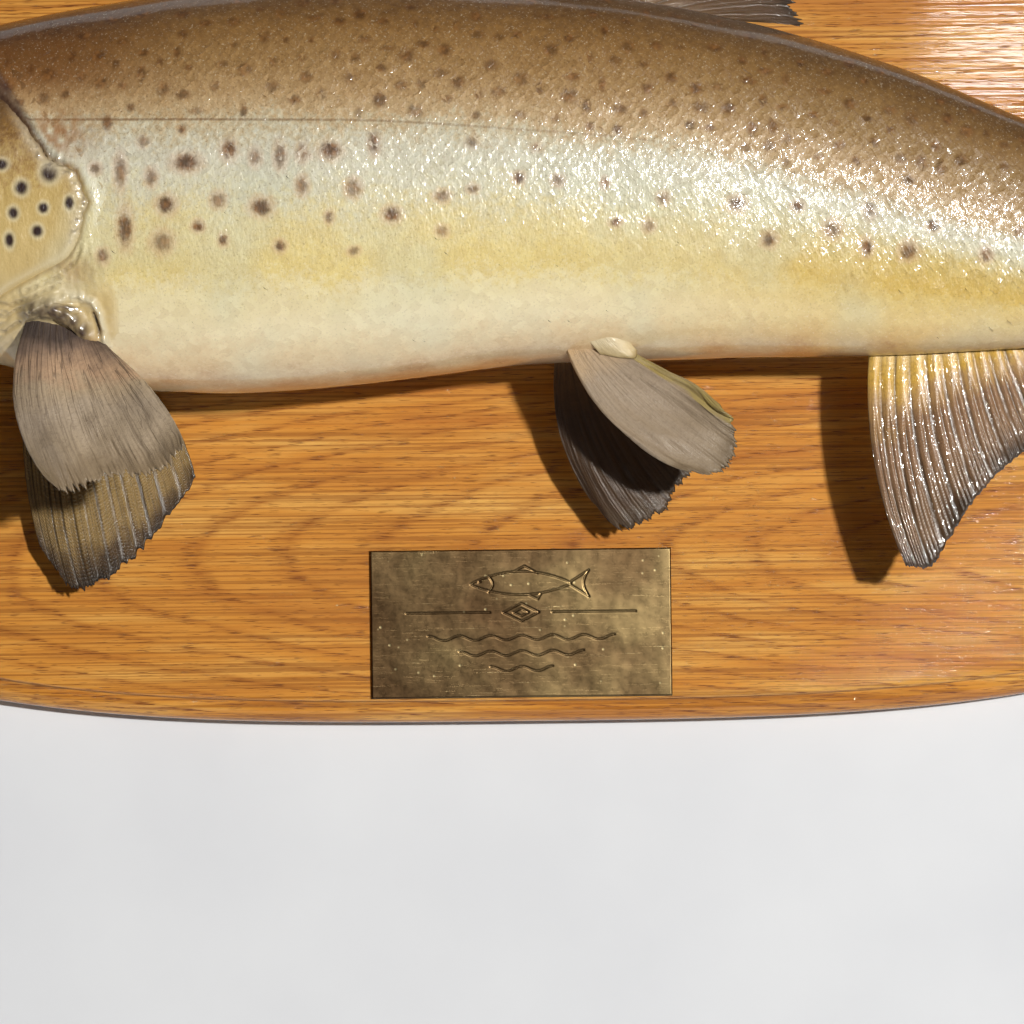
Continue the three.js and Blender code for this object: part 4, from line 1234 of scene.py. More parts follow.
def skin_mesh():
    """Body sections pushed out by the sculpted lift; their stations crowd together on the head."""
    nose = SNOUT["x"] + SNOUT["roundness"] * (1 - np.cos(np.linspace(0.06, math.pi / 2, 40)))
    face = np.arange(nose[-1] + 0.6, -158, 0.66)
    trunk = np.linspace(-157.2, TAIL_ROOT, 118)
    stations = np.concatenate([nose, face, trunk])
    x, angle = np.meshgrid(stations, np.linspace(-math.pi, math.pi, AROUND_BODY + 1)[:-1], indexing="ij")
    points, _, _, out = skin_frame(x, angle)
    lift, head, crease, pale, tan = sculpt(points, np.where(angle > 0, 1, -1))
    hollow, eye_rim_shade = socket(points)
    # the socket's second field is painted shade round each eye
    crease = np.maximum(crease, eye_rim_shade)
    shaped = clear_of_board(points + out * (lift + hollow)[..., None] + hook(points))
    count = x.size
    ends = np.array([[SNOUT["x"], middle_y(SNOUT["x"]), SNOUT["z"]], shaped[-1].mean(0)])
    all_points = np.concatenate([shaped.reshape(-1, 3), ends])
    ring = np.arange(AROUND_BODY)
    nose_cap = np.stack([np.full(AROUND_BODY, count), (ring + 1) % AROUND_BODY, ring], -1)
    last = count - AROUND_BODY
    tail_cap = np.stack([np.full(AROUND_BODY, count + 1), last + ring, last + (ring + 1) % AROUND_BODY], -1)
    marks = body_marks(points, head=head, crease=crease, pale=pale, tan=tan)
    marks = {name: np.append(values, [values[0], values[-1]]) for name, values in marks.items()}
    quads = grid_faces(len(stations), AROUND_BODY, wrap=True, flip=True)
    return make_mesh(
        "skin", all_points, [quads, nose_cap[:, ::-1], tail_cap[:, ::-1]], skin_paint, marks=marks
    )


def shoulder_patch(label, side):
    """The skin again round the root of a pectoral fin, four times finer; its border dips under the rest."""
    shift = (0, 0) if side > 0 else FAR_SHIFT
    across, down = np.meshgrid(np.linspace(-226, -159, 176) + shift[0], np.linspace(0, 1, 150), indexing="ij")
    top, low = angle_at(across, -2.0 + shift[1]), angle_at(across, np.maximum(-60.0, section(across)[1] + 2))
    points, _, _, out = skin_frame(across, side * (top + (low - top) * down))
    lift, head, crease, pale, tan = sculpt(points, np.full(points.shape[:-1], side))
    inside = np.minimum(
        np.minimum(across - across[0, 0], across[-1, 0] - across) / 3, np.minimum(down, 1 - down) / 0.05
    )
    shaped = clear_of_board(points + out * (lift + 0.05 - 0.9 * (1 - ease(0, 1, inside)))[..., None])
    marks = body_marks(points, head=head, crease=crease, pale=pale, tan=tan)
    return make_mesh(
        f"shoulder_skin_{label}", shaped.reshape(-1, 3), [grid_faces(176, 150, flip=side > 0)], skin_paint,
        marks=marks,
    )


FLESH = ["head", "lower_jaw", "trunk_front", "trunk_middle", "trunk_rear", "tail_stalk"]
settle(skin_mesh(), "skin", *FLESH)
for label, side in SIDES:
    settle(shoulder_patch(label, side), "skin", "trunk_front")

# %% [markdown]
# ## Gill covers and upper jaw bones
#
# These are thin bones under tight skin, with a free edge that really stands off the body. So each is
# a closed lens of its own: rings of its outline shrink towards a spine, and the lift of the rings
# draws a rounded edge. At the front, where the bone runs on under the cheek, the lens dips below the
# skin, and no seam shows.

# %% Plates of bone
def bone_plate(name, loop, spine, proud, side, front):
    """Rings between an outline and its spine: the lift grows with the distance to the outline."""
    shares = np.concatenate([np.linspace(0, 0.9, 34), np.linspace(0.915, 1, 12)])
    lip = [(1, 0.05), (1.003, -0.5), (1.003, -1.7), (0.985, -3), (0.8, -3.2), (0.4, -3.2), (0, -3.2)]
    lip = np.array(lip)  # share of the way out from the spine, and height
    share = np.concatenate([shares, lip[:, 0]])
    flat = spine[None] + (loop - spine)[None] * share[:, None, None]
    x, z = flat[..., 0], flat[..., 1]
    deep = np.maximum(-off_loop(x, z, loop), 0)
    over = proud * (1 - np.exp(-deep / 1.6)) + 0.16 * ripple(x, z, 41, 9.0) * ease(0, 4, deep)
    wet = ease(-206, -194, x) * ease(-10, 0, z) * bump(deep - 1.6, 2.2)
    ridge = ease(4, -8, z) * bump(deep - 2.2, 1.5)
    over = over + 0.2 * wet * ripple(x, z, 42, 2.8) + 0.35 * ridge
    height = np.concatenate([over[: len(shares)], np.broadcast_to(lip[:, 1:], (len(lip), len(loop)))])
    point, _, _, out = skin_frame(x, side * angle_at(x, z))
    sunk = 1 - ease(front[0], front[1], x)
    height = height - sunk * np.where(height > -1.0, 2.2, 0.6)
    shaped = clear_of_board(point + out * height[..., None])
    seen = 1 - sunk
    # painted shade along the upper edge of the bone, where it stands off the skin
    edge_shade = 0.45 * bump(deep, 0.7) * ease(-10, 10, z)
    stained = 0.5 * wet * ease(0.1, 0.8, ripple(x, z, 43, 3.6))
    crease, pale = seen * np.maximum(edge_shade, stained), seen * (0.3 * ridge + 0.45 * wet)
    marks = body_marks(point, head=1.0, crease=crease, pale=pale, tan=seen * 0.2 * wet)
    faces = grid_faces(len(share), len(loop), wrap=True, flip=side > 0)
    return make_mesh(name, shaped.reshape(-1, 3), [faces], skin_paint, marks=marks, merge=True)


MAXILLA_SPINE = [(-311, 12.6), (-290, 9.4), (-267, 3.2), (-248, -4.2), (-236.5, -12.5)]
MAXILLA_HALF = [(-311, 1.6), (-300, 3.2), (-280, 4.4), (-262, 4.8), (-248, 4.6), (-239, 3.2), (-236.5, 1.2)]


def maxilla_loop(count):
    """The spine offset by the half width on both sides, and the spine point of each point of that loop."""
    run = np.linspace(MAXILLA_SPINE[0][0], MAXILLA_SPINE[-1][0], count // 2)
    middle = np.stack([run, through(MAXILLA_SPINE, 1)(run)], -1)
    ahead = unit(np.gradient(middle, axis=0))
    normal = np.stack([-ahead[:, 1], ahead[:, 0]], -1)
    half = lines_at(run, MAXILLA_HALF)[:, None]
    upper, lower = middle + normal * half, middle - normal * half
    return np.concatenate([upper, lower[::-1]]), np.concatenate([middle, middle[::-1]])


GILL_HEART = np.array([-203.0, 12.0])
maxilla_outline, maxilla_spine = maxilla_loop(96)
for label, side in SIDES:
    cover = bone_plate(f"gill_cover_{label}", GILL_LOOP, GILL_HEART, 1.3, side, (-229, -213))
    settle(cover, "gill_cover", f"operculum_{label}")
    jaw_bone = bone_plate(f"jaw_bone_{label}", maxilla_outline, maxilla_spine, 1.3, side, (-312, -292))
    settle(jaw_bone, "gill_cover", f"maxilla_{label}")

# %% [markdown]
# ## Glass eyes
#
# A taxidermist's eye is a glass lens painted from behind. A trout's pupil isn't round: it comes to a
# point towards the snout. Around it the iris is brass gold, darkened above and below by a brown
# smudge. The shape is a flattened ball sunk behind its lids, and the paint follows a flat map of it.

# %% Painted glass
def painted_glass():
    """A trout's glass eye: black pear-shaped pupil, thin gold ring, brassy mottled iris, clear gloss."""
    finish = bpy.data.materials.new("painted glass eye, polished")
    add = start(finish)
    disc = add("UVMap", uv_map="Iris")
    flat = add("VectorMath", {0: disc, 1: (0.5, 0.5, 0.0)}, operation="SUBTRACT")
    along = add("SeparateXYZ", {0: flat}, out="X")
    radius = add("VectorMath", {0: flat}, operation="LENGTH", out="Value")
    forward = add("Math", {0: along, 1: 0.24}, **TIMES)
    pear = add("Math", {0: radius, 1: forward}, operation="ADD")
    mottle = add("TexNoise", {"Vector": flat, "Scale": 16.0, "Detail": 4.0, "Roughness": 0.7})
    wobble = add("Math", {0: mottle, 1: 0.05, 2: -0.025}, operation="MULTIPLY_ADD")
    ring = add("Math", {0: pear, 1: wobble}, operation="ADD")
    iris = add("ValToRGB", {0: ring}, stops=[
        (0.0, "#050506"), (0.165, "#050506"), (0.178, "#d9b765"), (0.205, "#b98f45"), (0.30, "#8c6a34"),
        (0.385, "#4a3820"), (0.43, "#1b150f"), (0.5, "#0c0a09")])
    up = add("SeparateXYZ", {0: flat}, out="Y")
    up = add("Math", {0: up}, operation="ABSOLUTE")
    smudge = add("MapRange", {"Value": up}, span=(0.16, 0.36), to=(0.0, 0.7))
    outside = add("MapRange", {"Value": pear}, span=(0.17, 0.2))
    smudge = add("Math", {0: smudge, 1: outside}, **TIMES)
    iris = add("Mix", {0: smudge, 6: iris, 7: paint("#2c2115")}, **MIX)
    surface = add(
        "BsdfPrincipled",
        {"Base Color": iris, "Roughness": 0.3, "Coat Weight": 1.0, "Coat Roughness": 0.01, "Coat IOR": 1.55},
    )
    add("OutputMaterial", {"Surface": surface})
    return finish


eye_glass = painted_glass()


def eye_mesh(label, side):
    """Rings of a flattened ball from the front of the lens to the back; the map shows the front as a disc."""
    centre, along, up, out = eye_frame(side)
    sweep = np.linspace(0, math.pi, 33)[:, None]
    turn = np.linspace(0, 2 * math.pi, 65)[:-1][None, :]
    flat_x, flat_y = np.sin(sweep) * np.cos(turn), np.sin(sweep) * np.sin(turn)
    depth = EYE["proud"] - EYE["half_depth"] + EYE["half_depth"] * np.cos(sweep) + 0 * turn
    offset = EYE["radius"] * (flat_x[..., None] * along + flat_y[..., None] * up)
    points = centre + offset + depth[..., None] * out
    uv = np.stack([0.5 + 0.5 * flat_x, 0.5 + 0.5 * flat_y], -1).reshape(-1, 2)
    faces = grid_faces(33, 64, wrap=True, flip=side < 0)
    return make_mesh(
        f"glass_eye_{label}", points.reshape(-1, 3), [faces], eye_glass, uv=uv, uv_name="Iris", merge=True
    )


for label, side in SIDES:
    settle(eye_mesh(label, side), "eye", f"eye_{label}")

# %% [markdown]
# ## Scales
#
# A trout carries about 120 scales along its side, each a thin round plate rooted in the skin and free
# at its tail end, and every other row is shifted by half a scale. Rows follow the lateral line. So a
# scale's place is its row (a distance round the body from the lateral line) and its column (a
# distance along the body), and both shrink towards the tail. Each scale is a small curved sheet that
# starts under the skin, climbs over the scale behind it and ends in a rounded lip. The lips catch the
# light one by one, as a flat pattern could not.

# %% Where scales grow
ROW_PITCH = ((-215, 3.0), (60, 2.85), (200, 2.4), (316, 2.1))  # round the body, at x
COLUMN_PITCH = ((-215, 3.9), (60, 3.8), (200, 3.4), (316, 3.0))  # along the body
OVERLAP = 1.8  # length of a scale in columns
LAST_SCALE = 309.0

row_pitch_at, column_pitch_at = through(ROW_PITCH, 1), through(COLUMN_PITCH, 1)


def arc_tables():
    """For stations along the body: the arc distance from the lateral line at every angle of the near side."""
    stations = np.linspace(-216, TAIL_ROOT, 134)
    angles = np.linspace(0, math.pi, 721)
    x, angle = np.meshgrid(stations, angles, indexing="ij")
    top, bottom, half_width = section(x)
    cos, power = np.cos(angle), 2 / np.where(np.cos(angle) > 0, UPPER_POWER, LOWER_POWER)
    z = (top - bottom) / 2 * signed_power(cos, power)
    y = half_width * signed_power(np.sin(angle), power)
    arc = np.concatenate([np.zeros((len(stations), 1)), np.cumsum(np.hypot(np.diff(y), np.diff(z)), 1)], 1)
    line = lateral_line_at(stations)
    at_line = np.array([np.interp(angle_at(s, h), angles, row) for s, h, row in zip(stations, line, arc)])
    return stations, angles, at_line[:, None] - arc


STATIONS, ANGLES, ARC = arc_tables()
ARC_STEP = 0.5
ARC_GRID = np.arange(-140, 90, ARC_STEP)
ANGLE_TABLE = np.array([np.interp(ARC_GRID, row[::-1], ANGLES[::-1]) for row in ARC])
ARC_UP, ARC_DOWN = ARC[:, 0], ARC[:, -1]


def angle_of(x, arc):
    """Angle on the near side at an arc distance above the lateral line, read from the table."""
    column = np.clip((x - STATIONS[0]) / (STATIONS[1] - STATIONS[0]), 0, len(STATIONS) - 1.001)
    row = np.clip((arc - ARC_GRID[0]) / ARC_STEP, 0, len(ARC_GRID) - 1.001)
    i, j = column.astype(int), row.astype(int)
    u, v = column - i, row - j
    ahead = ANGLE_TABLE[i, j] * (1 - v) + ANGLE_TABLE[i, j + 1] * v
    behind = ANGLE_TABLE[i + 1, j] * (1 - v) + ANGLE_TABLE[i + 1, j + 1] * v
    return ahead * (1 - u) + behind * u


def column_places(first, last):
    """Distances along the body of the columns: the steps shrink with the pitch."""
    run = np.linspace(first, last, 2000)
    count = np.concatenate([[0], np.cumsum(np.diff(run) / column_pitch_at((run[1:] + run[:-1]) / 2))])
    return run, count


RUN, COLUMN_OF_RUN = column_places(-222, LAST_SCALE)


def scale_roots(side):
    """The x and arc of every scale of one flank, without those on bare skin or against the board."""
    rows = np.arange(-54, 38)
    columns = np.arange(0, int(COLUMN_OF_RUN[-1]))
    row, column = (grid.ravel() for grid in np.meshgrid(rows, columns, indexing="ij"))
    x = np.interp(column + 0.5 * (row % 2), COLUMN_OF_RUN, RUN)
    arc = row * row_pitch_at(x)
    gap = (0.2 if side > 0 else 0.5) * row_pitch_at(x)
    keep = (arc < np.interp(x, STATIONS, ARC_UP) - gap) & (arc > np.interp(x, STATIONS, ARC_DOWN) + gap)
    x, arc = x[keep], arc[keep]
    point = body_point(x, side * angle_of(x, arc))
    keep = (x > lines_at(point[:, 2], FIRST_SCALES)) & (point[:, 1] < NEAREST_THE_BOARD - 2.5)
    shift = (0, 0) if side > 0 else FAR_SHIFT
    across, up = x - BARE_PATCH["x"] - shift[0], point[:, 2] - BARE_PATCH["z"] - shift[1]
    keep &= np.hypot(across / BARE_PATCH["half_length"], up / BARE_PATCH["half_height"]) > 1
    return x[keep], arc[keep]


# round the root of the near pectoral
BARE_PATCH = {"x": -183, "z": -33, "half_length": 19.5, "half_height": 17}

# %% Shape of one scale
ACROSS = np.array([-1.0, -0.55, 0.0, 0.55, 1.0])
ALONG = np.array([0.0, 0.35, 0.68, 0.9, 1.0, 1.04])
HEIGHT = np.array([-0.72, -0.53, -0.33, -0.18, -0.14, -0.16])
RIM = np.array([0.0, 0.0, 0.12, 0.75, 1.0, 1.0])


def flank_scales(name, side, x, arc, seed):
    """One mesh of all the scales in a range of a flank: a small grid of points for each, bent to the body."""
    draw = np.random.default_rng(seed)
    count = len(x)
    x, arc = x + draw.normal(0, 0.24, count), arc + draw.normal(0, 0.16, count)
    size = draw.normal(1.0, 0.08, (count, 1, 1))
    tilt = draw.normal(0.0, 0.18, (count, 1, 1))
    heave = draw.normal(0.0, 0.09, (count, 1, 1))
    skew = draw.normal(0.0, 0.08, (count, 1, 1))
    across, along = ACROSS[None, None, :], ALONG[None, :, None]
    length = OVERLAP * column_pitch_at(x)[:, None, None] * size
    half = 1.04 * row_pitch_at(x)[:, None, None] * size
    outline = 1 - 0.42 * across**2 * ease(0.2, 1.0, along)
    narrow = np.interp(ALONG, [0, 0.5, 1.03], [0.8, 1.0, 0.86])[None, :, None]
    at_x = x[:, None, None] + length * (along * outline - 0.35)
    at_arc = arc[:, None, None] + half * narrow * across + length * along * skew
    at_angle = angle_of(np.minimum(at_x, TAIL_ROOT - 0.5), at_arc)
    point, _, _, out = skin_frame(np.minimum(at_x, TAIL_ROOT - 0.3), side * at_angle)
    height = HEIGHT[None, :, None] * size - 0.12 * across**2 * along + tilt * across * along + heave * along
    grown = scale_cover(x, body_point(x, side * angle_of(x, arc))[:, 2])[:, None, None]
    under_the_ridge = np.interp(x, STATIONS, ARC_UP) - arc
    # buried in thick skin
    smooth = np.maximum(ease(-10, -60, arc), ease(44, 28, under_the_ridge))[:, None, None]
    height = height * (1 - 0.95 * smooth) - 0.17 * smooth - 0.25 * (1 - grown)
    shaped = clear_of_board(point + out * (height + unevenness(point))[..., None])
    rim = np.maximum(RIM[None, :, None], 0.5 * ease(0.75, 1.0, np.abs(across)) * along)
    own = draw.uniform(0, 1, (count, 1, 1))
    marks = body_marks(
        point, rim=rim, own=own, head=0.5 * (1 - grown), tan=rust(point[..., 0], point[..., 2]), crease=0.0,
        pale=0.0,
    )
    first = len(ALONG) * len(ACROSS) * np.arange(count)[:, None, None]
    faces = (grid_faces(len(ALONG), len(ACROSS), flip=side < 0)[None] + first).reshape(-1, 4)
    root = np.stack([(x - STATIONS[0]) / 560, (side * angle_of(x, arc) + math.pi) / (2 * math.pi)], -1)
    patch = 0.003 * np.stack(np.broadcast_arrays(along - 0.5, 0.5 * across), -1)
    uv = (0.02 + 0.96 * root[:, None, None, :] + patch).reshape(-1, 2)
    return make_mesh(name, shaped.reshape(-1, 3), [faces], skin_paint, uv=uv, uv_name="OFBake", marks=marks)


for side, label in ((1, "near"), (-1, "far")):
    x, arc = scale_roots(side)
    back, front = arc > 0, x < np.median(x)
    bands = {
        "back_front": back & front, "back_rear": back & ~front, "flank_front": ~back & front,
        "flank_rear": ~back & ~front,
    }
    for band, chosen in bands.items():
        seed = 50 + len(band) + 20 * side
        piece = flank_scales(f"scales_{label}_{band}", side, x[chosen], arc[chosen], seed)
        settle(piece, "skin", *FLESH)
    print(label, "flank:", len(x), "scales")

# %% [markdown]
# ## Fins
#
# A fin is a fan of bony rays with skin stretched between them. Each ray starts thick and smooth,
# splits in two and again in two on its way out, and its branches stay together in a bundle, with a
# strip of thin skin between bundles. Past the first third the rays are jointed, which shows as fine
# beads. So each blade is a closed sheet whose thickness follows the bundles, with a frayed rim cut by
# seeded noise. Fins that dry without cards also curl, so no two of these lie flat.

# %% Fin rays
FINS = {  # rays from front to back: root x, root z, tip x, tip z, bow; then how the blade stands off the wall
    "dorsal_fin": {
        "rays": [
            (-30, 94, 30, 150, -7), (-10, 92, 58, 143, -6), (12, 90, 86, 126, -4), (34, 88, 103, 108, -3),
            (54, 86, 111, 93, -2), (68, 84, 116, 81.5, -1),
        ],
        "front_y": (46, 46), "cup": 2, "thick": (3.4, 1.0), "bundles": 13, "rag": 0.03, "relief": 0.6,
    },
    "adipose_fin": {
        "rays": [
            (213, 32, 234, 45, -3), (218, 30, 242, 44, -2), (223, 28, 245, 36, 0), (228, 26, 241, 29, 1)
        ],
        "front_y": (50, 52), "cup": 0, "thick": (6.0, 2.0), "bundles": 0, "rag": 0.0, "relief": 0.0,
    },
    "anal_fin": {
        "rays": [
            (141, -48, 155, -139, 6), (153, -48, 166, -138, 5), (166, -47, 180, -116, 3),
            (180, -47, 194, -100, 2), (193, -46, 209, -90, 1), (207, -45, 228, -82, 0),
        ],
        "front_y": (47, 48), "cup": 2, "thick": (4.0, 1.1), "bundles": 11, "rag": 0.008, "relief": 0.72,
    },
    "pectoral_fin_left": {
        "rays": [
            (-196, -32, -184, -102, 11), (-190, -30, -175, -104, 8), (-184, -32, -161, -100, 4),
            (-178, -37, -145, -98, 0), (-172, -44, -130.5, -89, -5),
        ],
        "front_y": (75, 116), "cup": -4, "thick": (4.6, 0.9), "bundles": 13, "rag": 0.02, "relief": 0.1,
        "wave": 1.5,
    },
    "pectoral_fin_right": {
        "rays": [
            (-203, -38, -201, -128, 6), (-196, -36, -188, -144, 5), (-188, -38, -173, -141, 2),
            (-180, -42, -156, -126, -2), (-170, -47, -136, -100, -6),
        ],
        "front_y": (13, 18), "cup": 3, "thick": (5.0, 0.9), "bundles": 13, "rag": 0.012, "relief": 0.36,
    },
    "pelvic_fin_left": {
        "rays": [
            (16, -46, 64, -100, 8), (20, -46, 74, -101, 5), (25, -46, 83, -96, 1), (30, -46, 84.5, -84, -1),
            (36, -46, 78, -74, -1),
        ],
        "front_y": (62, 78), "cup": -2, "thick": (4.4, 0.9), "bundles": 10, "rag": 0.014, "relief": 0.05,
        "wave": 1.0, "folded": 0.8,
    },
    "pelvic_fin_right": {
        "rays": [
            (14, -47, 26, -108, 6), (17, -47, 40, -123, 8), (21, -47, 55, -117, 5), (27, -47, 67, -102, 2),
            (34, -47, 80, -86, 0),
        ],
        "front_y": (32, 24), "cup": 3, "thick": (4.4, 0.9), "bundles": 10, "rag": 0.02, "relief": 0.24,
    },
}
TAIL = {
    "x": 316.3, "z": -24.0, "root_half": 32.5, "reach": 54.0, "tip_reach": 11.0, "tip_z": -29.0,
    "tip_half": 79.0, "flare": 0.55, "droop": 0.1,
}


def paired_fin(fin):
    """Middle surface of a fin: u runs across the rays and v out along them."""
    rays = np.array(fin["rays"], float)
    share = np.linspace(0, 1, len(rays))
    columns = [through(np.column_stack([share, rays]), column) for column in range(1, 6)]

    def surface(u, v):
        root_x, root_z, tip_x, tip_z, bow = (column(u) for column in columns)
        bend = bow * 4 * v * (1 - v)
        long = np.hypot(tip_x - root_x, tip_z - root_z)
        x = root_x + (tip_x - root_x) * v + (tip_z - root_z) / long * bend
        z = root_z + (tip_z - root_z) * v - (tip_x - root_x) / long * bend
        near, far = fin["front_y"]
        y = -(20 + near + (far - near) * v + fin["cup"] * v * np.cos((u - 0.5) * 2 * math.pi))
        return np.stack([x, y, z], -1)

    return surface


def tail_surface(u, v):
    """Middle surface of the tail fin, broad and nearly square at its rear edge as in an old cock fish."""
    side = 2 * u - 1
    spread = v * (1 - TAIL["flare"]) + TAIL["flare"] * np.sin(v * math.pi / 2)
    reach = TAIL["reach"] + TAIL["tip_reach"] * np.abs(side) ** 1.6
    x = TAIL["x"] + reach * v
    half = TAIL["root_half"] + (TAIL["tip_half"] - TAIL["root_half"]) * spread
    z = TAIL["z"] + (TAIL["tip_z"] - TAIL["z"]) * v + side * half
    y = middle_y(316) - TAIL["droop"] * reach * v
    return np.stack([x, y + 0 * z, z], -1)


def bundle_pattern(u, v, bundles):
    """1 on a ray and 0 on bare skin: in each bundle one ray becomes two a third of the way out, then four."""
    place = (u * bundles) % 1.0 - 0.5
    first, second = ease(0.2, 0.42, v), ease(0.5, 0.78, v)
    width = 0.4 - 0.26 * first - 0.055 * second
    rays = np.zeros_like(u)
    for half in (-1, 1):
        for quarter in (-1, 1):
            middle = half * 0.2 * first + quarter * 0.095 * second
            rays = np.maximum(rays, bump(place - middle, width))
    return rays


# %% Blades
ROOTED = 0.14  # the share of a fin's length that goes on under the skin


def fin_blade(
    name, surface, finish, thick, bundles, rag, relief, seed, across=240, outwards=72, wave=0.6, thinning=0.5,
    folded=None,
):
    """A front and a back grid that share their outline, shaped by ribs, a frayed rim and slow waves."""
    u, v = np.meshgrid(np.linspace(0, 1, across), np.linspace(-ROOTED, 1, outwards), indexing="ij")
    fray = ripple(u * 100, 0 * v, seed, 2.4) + 0.7 * ripple(u * 100, 0 * v, seed + 1, 9.0) - 0.7
    notch = 0.8 * bump((u * max(bundles, 1)) % 1.0 - 0.5, 0.42) - 0.4
    long = v * (1 + rag * (fray + notch) * ease(0.5, 1.0, v))
    nibbled = 0.35 * rag * ripple(v * 100, 0 * u, seed + 2, 6.0) * ease(0.2, 0.6, v)
    wide = np.clip(0.5 + (u - 0.5) * (1 + nibbled), 0, 1)
    middle = surface(wide, long)
    step = 0.004
    outward = surface(wide, long + step) - surface(wide, long - step)
    sideways = surface(np.clip(wide + step, 0, 1), long) - surface(np.clip(wide - step, 0, 1), long)
    normal = unit(np.cross(outward, sideways))
    turned = np.sign(normal[..., 1].mean()) < 0
    normal = normal if turned else -normal
    ray = bundle_pattern(u, v, bundles) if bundles else np.ones_like(u)
    full = thick[0] + (thick[1] - thick[0]) * np.maximum(v, 0) ** thinning
    shoulder = np.sqrt(np.clip(np.minimum(u, 1 - u) / 0.03, 0, 1) * np.clip((1 - v) / 0.03, 0, 1))
    deep = relief * ease(0.02, 0.16, v)
    half = 0.5 * full * (1 - deep * (1 - ray)) * shoulder
    sway = wave * ease(0.1, 0.9, v) * (
        1.4 * ripple(u * 100, v * 60, seed + 3, 30) + 0.35 * ripple(u * 100, v * 40, seed + 4, 9)
    )
    if folded:  # the last rays lie tucked behind the others
        sway = sway - 2.4 * ease(
            folded - 0.012, folded + 0.012, u + 0.02 * ripple(v * 60, 0 * v, seed + 5, 12)
        ) * ease(0.12, 0.4, v)
    front = middle + normal * (sway + half)[..., None]
    back = middle + normal * (sway - half)[..., None]
    total = across * outwards
    number = np.arange(total).reshape(across, outwards)
    outline = np.concatenate([number[:-1, 0], number[-1, :-1], number[:0:-1, -1], number[0, :0:-1]])
    band = np.stack([outline, np.roll(outline, -1), np.roll(outline, -1) + total, outline + total], -1)
    front_faces = grid_faces(across, outwards, flip=turned)
    back_faces = grid_faces(across, outwards, flip=not turned) + total
    band = band if turned else band[:, ::-1]
    twice = {"ray": ray, "out": v, "across": u}
    marks = {key: np.tile(value.ravel(), 2) for key, value in twice.items()}
    uv = np.tile(np.stack([u, v], -1).reshape(-1, 2), (2, 1))
    points = np.concatenate([front.reshape(-1, 3), back.reshape(-1, 3)])
    return make_mesh(
        name, points, [front_faces, back_faces, band], finish, uv=uv, uv_name="Fin", marks=marks, merge=True
    )


